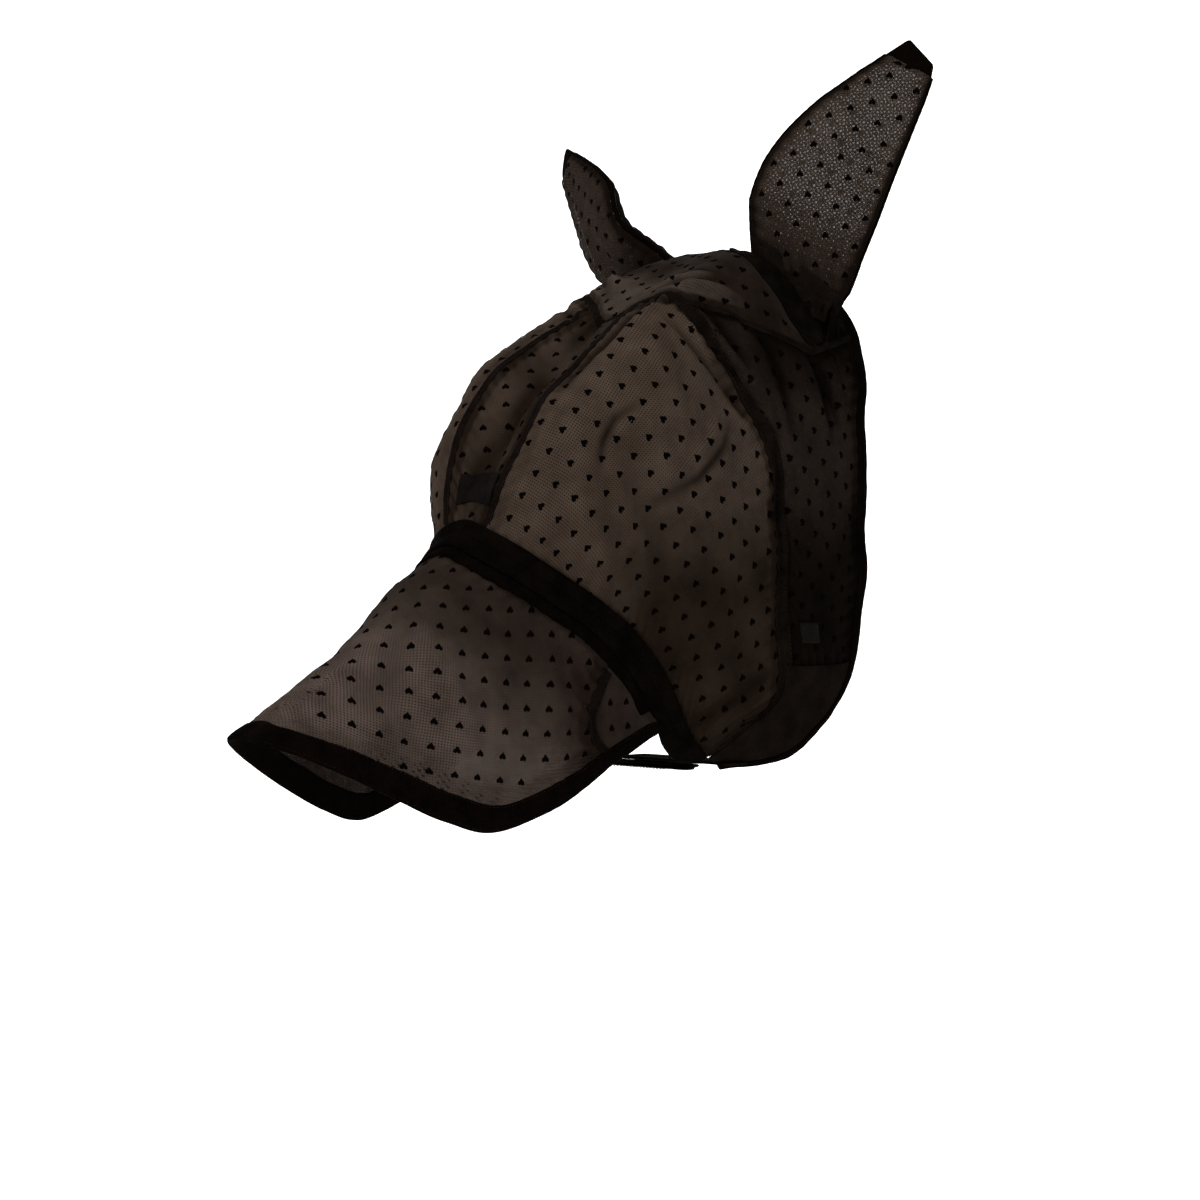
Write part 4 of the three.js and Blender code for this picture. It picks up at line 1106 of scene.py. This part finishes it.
fl = Cloth(flap_fn, 150, 74, along=RIGHT * 0.63 + UP * 0.06, ref=(0.78, 0.5), coarse=(48, 20), edges=(0.3, 0.3, 0.55, 0.2), reach=14)
fl.shade = np.clip(fl.shade + flap_dusk(fl.P), 0, 1)
o = on_flap(fl.sheet("flap_net", NET_FLAP, under=UNDER_FLAP), "flap_panel", slot="heart_mesh")
h = on_flap(fl.marks("flap_hearts", FLOCK, 18.4), slot="heart_mesh")
declare(fl)
for name, k in SIDES:

    def gusset_fn(u, v, k=k):
        c = lerp(lerp(DART[0], DART[1], v) + 0.008, 8.8, u) * k
        return flap.at(c, flap_in(c, v))

    gus = Cloth(gusset_fn, 34, 40, along=mirrored(RIGHT * 0.63 + UP * 0.06, 1), coarse=(14, 16))
    gus.shade = np.clip(gus.shade + 0.85, 0, 1)
    o = on_flap(gus.sheet(f"gusset_net_{name}", NET_FLAP, under=UNDER_FLAP), f"flap_gusset_{name}", slot="heart_mesh")
    h = gus.marks(f"gusset_hearts_{name}", FLOCK, 18.4)
    if h:
        on_flap(h, slot="heart_mesh")
    declare(gus)

    def dart_fn(u, v, k=k):
        t = lerp(0.12, 0.97, u)
        c0 = lerp(DART[0], DART[1], t)
        r = flap.row(c0, flap_in(c0, t))
        c = c0 + (v - 0.5) * 9 / flap.dc(r, c0)
        return flap.p(r, c * k), flap.n(r, c * k)

    on_flap(strip(f"flap_dart_{name}", dart_fn, 50, 6, 0.75, 1.6, TAPE), f"flap_dart_tape_{name}", slot="seam_tape")
    u = np.linspace(0.01, 0.99, 60)
    for v in (0.12, 0.88):
        P, N = dart_fn(u, np.full(60, v))
        P = P + N * fold_height(P)[..., None]
        flap_stitches.append((P + N * 1.6, N))

fn = edge_fn(flap, -FLAP_END, FLAP_END, 1, lambda L: FLAP_START - 2.5 + 0 * L, lambda L: FLAP_START + FLAP_TAPE_W + 0 * L)
on_flap(strip("flap_top_edge", fn, 240, 8, 0.8, crowned(1.4, 3.4), BIND, bump=ripple(0.15)), "flap_top_binding", slot="plain_cloth")
u = np.linspace(0.01, 0.99, 360)
P, N = fn(u, np.full(360, 0.86))
P = P + N * fold_height(P)[..., None]
flap_stitches.append((P + N * 2.3, N))
fn = edge_fn(flap, -8.93, 8.93, 1, lambda L: L - np.minimum(HEM_W, 0.2 * L + 14), lambda L: L)
on_flap(strip("flap_hem", fn, 280, 16, crowned(-0.2, -1.5), crowned(0.8, 3.1), BIND, bump=ripple(0.16)), "flap_hem_binding", slot="plain_cloth")
for at in (0.08, 0.9):
    P, N = fn(u, np.full(360, at))
    P = P + N * fold_height(P)[..., None]
    flap_stitches.append((P + N * 2.0, N))

on_mask(stitches("seam_stitching", seam_lines, THREAD), slot="seam_tape")
on_flap(stitches("flap_stitching", flap_stitches, THREAD), slot="seam_tape")

# ---------------------------------------------------------------- ear pockets
for name, k in SIDES:
    body = f"ear_{name}"
    O, X, Y, Z = ear_frame(k)
    start = Vector((O + Z * 3) * MM)
    if k > 0:
        end = Vector((O + Z * 46) * MM)
    else:
        end = Vector(SL[0][50] * MM)

    def on_ear(o, *nodes, slot=None, body=body, start=start, end=end):
        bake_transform(o)
        if nodes:
            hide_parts(*nodes)
        return o

    extras = {}
    for sign, part in ((-1, "front"), (1, "back")):

        def ear_fn(u, v, k=k, sign=sign):
            t = lerp(4.0, EAR_TIP + 1.5, u)
            q = ear_row(t)
            w = lerp(-1, 1, v) * (1 - 1.6 / (q[..., 1] - q[..., 0]))
            mid, hw = (q[..., 0] + q[..., 1]) / 2, (q[..., 1] - q[..., 0]) / 2
            bow = q[..., 2] * np.sqrt(np.maximum(0, 1 - w * w)) * sign + sign * 0.25
            # slack: long soft creases that run up the pocket
            gather = np.clip(1 - t / 90, 0, 1)
            bow = bow + (0.9 * np.sin(w * 7 + t * 0.035 + sign) + 0.5 * np.sin(w * 15 - t * 0.06)) * (1 - w * w) * (0.5 + 0.9 * gather)
            bow = bow + 0.8 * np.sin(t * 0.055 + w * 3 + 2 * sign) * (1 - w * w)
            P, Xd, Yd = ear_point(k, t, mid + hw * w, bow)
            return P, unit(Yd * sign + Xd * (w * 0.25)[..., None])

        ear = Cloth(ear_fn, 84, 40, along=RIGHT + UP * (0.1 if sign < 0 else 0.85), ref=(0.5, 0.5), fold=False, coarse=(30, 14), edges=(0.3, 0, 0.3, 0.3), reach=5, base=0.0 if k > 0 else 0.25)
        # Painted shade: the pocket is darker towards its root; the piping term darkens the edges, where the dark piping
        # runs.
        base_t = np.linspace(0, 1, ear.shade.shape[0])[:, None] * np.ones_like(ear.shade)
        side_v = np.linspace(0, 1, ear.shade.shape[1])[None, :] * np.ones_like(ear.shade)
        piping = 0.9 * (np.exp(-((side_v / 0.055) ** 2)) + np.exp(-(((1 - side_v) / 0.045) ** 2)))
        ear.shade = np.clip(ear.shade + 0.04 + 0.8 * (1 - smooth(base_t / 0.38)) + piping, 0, 1)
        o = on_ear(ear.sheet(f"ear_net_{name}_{part}", NET_EAR, 0.0, 0.5, double=False), f"ear_{name}_{part}", slot="ear_mesh")
        h = on_ear(ear.marks(f"ear_hearts_{name}_{part}", FLOCK, 17.0, turn=0.25 * sign, phase=(4 * sign, 3), size=6.2, margin=1.2, top=1.0, base=0.35, spin=0.1), slot="ear_mesh")
        declare(ear)

    def tube(name, t0, t1, which, rad, n, m, k=k):
        t = np.linspace(t0, t1, n + 1)
        q = ear_row(t)
        x = q[:, 0] + rad * 0.2 if which < 0 else q[:, 1] - rad * 0.2
        a = np.linspace(0, 2 * np.pi, m, endpoint=False)
        verts = []
        C, Xd, Yd = ear_point(k, t, x, 0 * x)
        wob = 1 + 0.05 * np.sin(t * 0.9)
        for i in range(n + 1):
            for b in a:
                verts.append(C[i] + Xd[i] * rad * 0.95 * wob[i] * math.cos(b) + Yd[i] * rad * math.sin(b))
        faces = [(i * m + j, i * m + (j + 1) % m, (i + 1) * m + (j + 1) % m, (i + 1) * m + j) for i in range(n) for j in range(m)]
        faces.append(tuple(range(m - 1, -1, -1)))
        faces.append(tuple(n * m + j for j in range(m)))
        uv = np.array([[t[i], j * 1.2] for i in range(n + 1) for j in range(m)])
        return mesh_object(name, verts, faces, BIND, uv)

    on_ear(tube(f"ear_edge_{name}_inner", 4, EAR_TIP + 1, -1, 2.3, 110, 10), f"ear_{name}_inner_piping", slot="plain_cloth")
    on_ear(tube(f"ear_edge_{name}_outer", 4, EAR_TIP + 1, 1, 1.7, 110, 10), f"ear_{name}_outer_seam", slot="plain_cloth")

    # reinforcement over the tip
    n, m = 16, 40
    verts = []
    for i in range(n + 1):
        f = i / n
        t = lerp(EAR_TIP - 2.0, EAR_LEN, f)
        q = ear_row(np.array(t))
        mid, hw, bow = (q[0] + q[1]) / 2, (q[1] - q[0]) / 2, max(q[2], 2.0)
        shrink = 1 - 0.10 * max(0, (f - 0.86) / 0.14) ** 2
        o_, x_, y_, z_ = [np.asarray(w) for w in sleeve(k, np.array(t * (1.0 if k > 0 else 0.915)))]
        for j in range(m):
            a = j / m * 2 * math.pi
            cx, sy = math.cos(a), math.sin(a)
            sx = np.sign(cx) * abs(cx) ** 0.8
            px = mid + hw * sx * shrink
            py = bow * np.sign(sy) * abs(sy) ** 0.85 * shrink * (1 - 0.35 * max(0, (f - 0.8) / 0.2))
            lean = px * -0.35 * f
            verts.append(o_ + x_ * px + y_ * py + z_ * lean)
    faces = [(i * m + j, i * m + (j + 1) % m, (i + 1) * m + (j + 1) % m, (i + 1) * m + j) for i in range(n) for j in range(m)]
    faces.append(tuple(range(m - 1, -1, -1)))
    faces.append(tuple(n * m + j for j in range(m)))
    uv = np.array([[j * 1.6, i * 1.2] for i in range(n + 1) for j in range(m)])
    tip = mesh_object(f"ear_tip_{name}", verts, faces, BIND, uv)
    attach(tip, body)
    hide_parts(f"ear_{name}_tip_patch")

    # gathered cuff round the root of the ear
    n, m = 30, 150
    out, inn = [], []
    for i in range(n + 1):
        f = i / n
        for j in range(m):
            a = j / m * 2 * math.pi
            t = lerp(-13.0, 13.0 + 5 * math.sin(a) * -1 - 5 * math.cos(a), f)
            q = ear_row(np.array(max(t, -9.0)))
            mid, hx, hy = (q[0] + q[1]) / 2, (q[1] - q[0]) / 2 + 1.2, q[2] + 1.6
            g = 0.5 * math.sin(a * 19 + 0.7) + 0.35 * math.sin(a * 31 + 2 + t * 0.1)
            puff = 1.0 * math.sin(math.pi * min(1, max(0, f))) + g * (0.4 + 0.6 * math.sin(math.pi * f))
            skirt = max(0.0, (-t - 4) / 9) ** 1.5 * 3.5
            for lst, extra in ((out, 0.0), (inn, -1.3)):
                e = puff + skirt + extra
                x = np.array(mid + (hx + e) * math.cos(a))
                y = np.array((hy + e) * math.sin(a))
                P, _, _ = ear_point(k, np.array(float(t)), x, y)
                lst.append(P)
    quads = [(i * m + j, i * m + (j + 1) % m, (i + 1) * m + (j + 1) % m, (i + 1) * m + j) for i in range(n) for j in range(m)]
    verts, faces, used = closed(np.array(out), np.array(inn), np.array(quads))
    uv = np.array([[j * 1.1, i * 1.3] for i in range(n + 1) for j in range(m)] * 2)[used]
    on_ear(mesh_object(f"ear_cuff_cloth_{name}", verts, faces, PLAIN, uv), f"ear_cuff_{name}", slot="plain_cloth")


# ------------------------------------------------------------ throat closure
def rounded(x0, x1, y0, y1, r, n=10):
    pts = [(x0, y0)]
    for i in range(n + 1):
        a = -math.pi / 2 + math.pi / 2 * i / n
        pts.append((x1 - r + r * math.cos(a), y0 + r + r * math.sin(a)))
    for i in range(n + 1):
        a = math.pi / 2 * i / n
        pts.append((x1 - r + r * math.cos(a), y1 - r + r * math.sin(a)))
    pts.append((x0, y1))
    return pts


def web(name, node, x0, x1, y0, y1, z0, z1, r, material, body, flip=False, wave=0.0):
    """Flat webbing with a soft edge: a fine grid over a rounded outline."""
    nx, ny = 72, 22
    o, i_ = [], []
    ca, cb = (z0 + z1) / 2, (z1 - z0) / 2
    for i in range(nx + 1):
        x = lerp(x0, x1, i / nx)
        inset = max(0.0, x - (x1 - r))
        half = (y1 - y0) / 2 - (r - math.sqrt(max(0.0, r * r - inset * inset)))
        ym = (y0 + y1) / 2
        for j in range(ny + 1):
            s = 2 * j / ny - 1
            y = ym + half * s
            soft = (1 - abs(s) ** 10) ** 0.5 if abs(s) < 1 else 0.0
            soft = max(soft, 0.12)
            w = wave * math.sin(x * 0.11 + 1) * math.sin((x - x0) / (x1 - x0) * math.pi)
            rib = 0.08 * math.sin(y * 2.2)
            X = -x if flip else x
            Y = -120 - y if flip else y
            o.append((X, Y, ca + cb * soft + w + rib))
            i_.append((X, Y, ca - cb * soft + w - rib))
    W = ny + 1
    quads = [(i * W + j, (i + 1) * W + j, (i + 1) * W + j + 1, i * W + j + 1) for i in range(nx) for j in range(ny)]
    verts, faces, used = closed(np.array(o), np.array(i_), np.array(quads))
    uv = np.array([[p[0], p[1]] for p in o] * 2)[used]
    ob = mesh_object(name, verts, faces, material, uv)
    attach(ob, body)
    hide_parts(node)
    return ob


TOP = -387.0
web("closure_tongue_cloth", "closure_tongue", -64, 18, -78, -42, TOP + 2.0, TOP + 4.2, 6, PLAIN, "mask", flip=True)
web("loop_patch_pile", "loop_patch", -4, 36, -76, -44, TOP + 0.6, TOP + 1.7, 4, LOOP, "mask")
web("throat_strap_web", "throat_strap", -64, 40, -79, -41, TOP - 3.6, TOP - 1.2, 8, PLAIN, "throat_strap")
web("hook_patch_hooks", "hook_patch", -4, 36, -76, -44, TOP - 0.9, TOP + 0.3, 4, HOOK, "throat_strap")
web("strap_pull_end", "strap_pull_tab", 40.4, 53, -78, -64, TOP - 3.4, TOP - 1.4, 4, BIND, "throat_strap")


def web_end(name, k, z0):
    """The sewn end of the webbing: runs from the strap into the edge binding."""
    o, i_ = [], []
    nx, ny = 26, 22
    for i in range(nx + 1):
        t = i / nx
        x = lerp(63.6, 82.0, t)
        y0, y1 = lerp(-79 if k < 0 else -78, -58, t), lerp(-41 if k < 0 else -42, -33, t)
        z = lerp(z0, -385.6, t * t * (3 - 2 * t))
        for j in range(ny + 1):
            s = 2 * j / ny - 1
            y = (y0 + y1) / 2 + (y1 - y0) / 2 * s
            soft = max((1 - abs(s) ** 10) ** 0.5 if abs(s) < 1 else 0.0, 0.12)
            rib = 0.08 * math.sin(y * 2.2)
            o.append((k * x, y, z + 1.1 * soft + rib))
            i_.append((k * x, y, z - 1.1 * soft - rib))
    W = ny + 1
    quads = [(i * W + j, (i + 1) * W + j, (i + 1) * W + j + 1, i * W + j + 1) for i in range(nx) for j in range(ny)]
    verts, faces, used = closed(np.array(o), np.array(i_), np.array(quads))
    uv = np.array([[p[0], p[1]] for p in o] * 2)[used]
    on_mask(mesh_object(name, verts, faces, PLAIN, uv), slot="plain_cloth")


web_end("throat_strap_sewn_end", -1, TOP - 2.4)
web_end("closure_tongue_sewn_end", 1, TOP + 3.1)


def straight(y, z, x0, x1, n=60, up=-1):
    x = np.linspace(x0, x1, n)
    return np.stack([x, 0 * x + y, 0 * x + z], 1), np.tile([0.0, 0.0, float(up)], (n, 1))


strap_lines = [straight(-76.5, TOP - 3.6, -60, 32), straight(-43.5, TOP - 3.6, -60, 32)]
o = stitches("strap_stitching", strap_lines, THREAD)
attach(o, "throat_strap")


# ------------------------------------------------------------ label and tag
def label_fn(u, v):
    c = lerp(-0.6, 0.84, u)
    return face.at(c, lerp(face.len(c) - 52, face.len(c) - 28, v))


o = strip("nose_label_woven", label_fn, 40, 24, 1.3, crowned(1.9, 2.6, 0.3), LABEL)
on_mask(o, "nose_label", slot="woven_label")


def tag_fn(u, v):
    c = lerp(7.24, 7.44, u)
    return rear.at(c, lerp(20, 42, v))


o = strip("size_tag_woven", tag_fn, 8, 16, 0.8, 2.2, LABEL)
on_mask(o, "size_tag", slot="woven_label")

# ------------------------------------------------------------ studio
back = Vector(BACK)
right = Vector(RIGHT)
up = Vector(UP)
cam_data = bpy.data.cameras.new("camera")
cam_data.lens = 92.16
cam_data.sensor_width = 36.0
cam_data.clip_end = 50
cam = bpy.data.objects.new("camera", cam_data)
loc = (2400 * back - 78.125 * right - 264.06 * up) * MM
rot = Matrix((right, up, back)).transposed().to_4x4()
cam.matrix_world = Matrix.Translation(loc) @ rot
bpy.context.scene.collection.objects.link(cam)
bpy.context.scene.camera = cam

world = bpy.data.worlds.new("studio")
world.use_nodes = True
bpy.context.scene.world = world
wb = world.node_tree.nodes["Background"]
wb.inputs[0].default_value = (1.0, 1.0, 1.0, 1)
wb.inputs[1].default_value = 0.60

# pale floor that sweeps up behind
prof = []
FLOOR_Z = -0.62
for i in range(60):
    f = i / 59
    if f < 0.5:
        prof.append((-3.2 + 5.0 * f / 0.5, FLOOR_Z))
    else:
        a = (f - 0.5) / 0.5 * math.pi / 2
        prof.append((1.8 + 1.6 * math.sin(a), FLOOR_Z + 1.6 - 1.6 * math.cos(a)))
prof.append((3.4, 3.6))
verts, faces = [], []
away = -back.copy()
away.z = 0
away.normalize()
for d, z in prof:
    for s in (-4.5, 4.5):
        p = away * d + right * s
        verts.append((p.x, p.y, z))
for i in range(len(prof) - 1):
    faces.append((2 * i, 2 * i + 1, 2 * i + 3, 2 * i + 2))
me = bpy.data.meshes.new("studio_floor")
me.from_pydata(verts, [], faces)
me.polygons.foreach_set("use_smooth", [True] * len(me.polygons))
floor = bpy.data.objects.new("studio_floor", me)
bpy.context.scene.collection.objects.link(floor)
fm, ft, fb = node_tree("studio_pale")
grain = noise(ft, 3.0, 2.0, 0.5)
ft.links.new(ramp(ft, grain.outputs[0], [(0.3, (0.90, 0.90, 0.90)), (0.7, (0.92, 0.92, 0.92))]), fb.inputs["Base Color"])
fb.inputs["Roughness"].default_value = 0.9
fb.inputs["Specular IOR Level"].default_value = 0.1
fb.inputs["Emission Color"].default_value = (1, 1, 1, 1)
fb.inputs["Emission Strength"].default_value = 0.75
me.materials.append(fm)


def area(name, where, target, size, power):
    d = bpy.data.lights.new(name, "AREA")
    d.shape = "SQUARE"
    d.size = size
    d.energy = power
    o = bpy.data.objects.new(name, d)
    o.location = where
    o.rotation_euler = (Vector(target) - Vector(where)).to_track_quat("-Z", "Y").to_euler()
    bpy.context.scene.collection.objects.link(o)


area("key", tuple(back * 1.9 + right * -1.0 + Vector((0, 0, 1.3))), (0, -0.1, -0.15), 0.5, 66)
area("fill", tuple(back * 1.7 + right * 1.6 + Vector((0, 0, 0.5))), (0, -0.1, -0.15), 1.6, 5)
area("top", (0.1, 0.0, 1.9), (0, -0.1, -0.15), 0.8, 26)

vs = bpy.context.scene.view_settings
vs.view_transform = "Standard"
vs.look = "None"

bpy.context.view_layer.update()
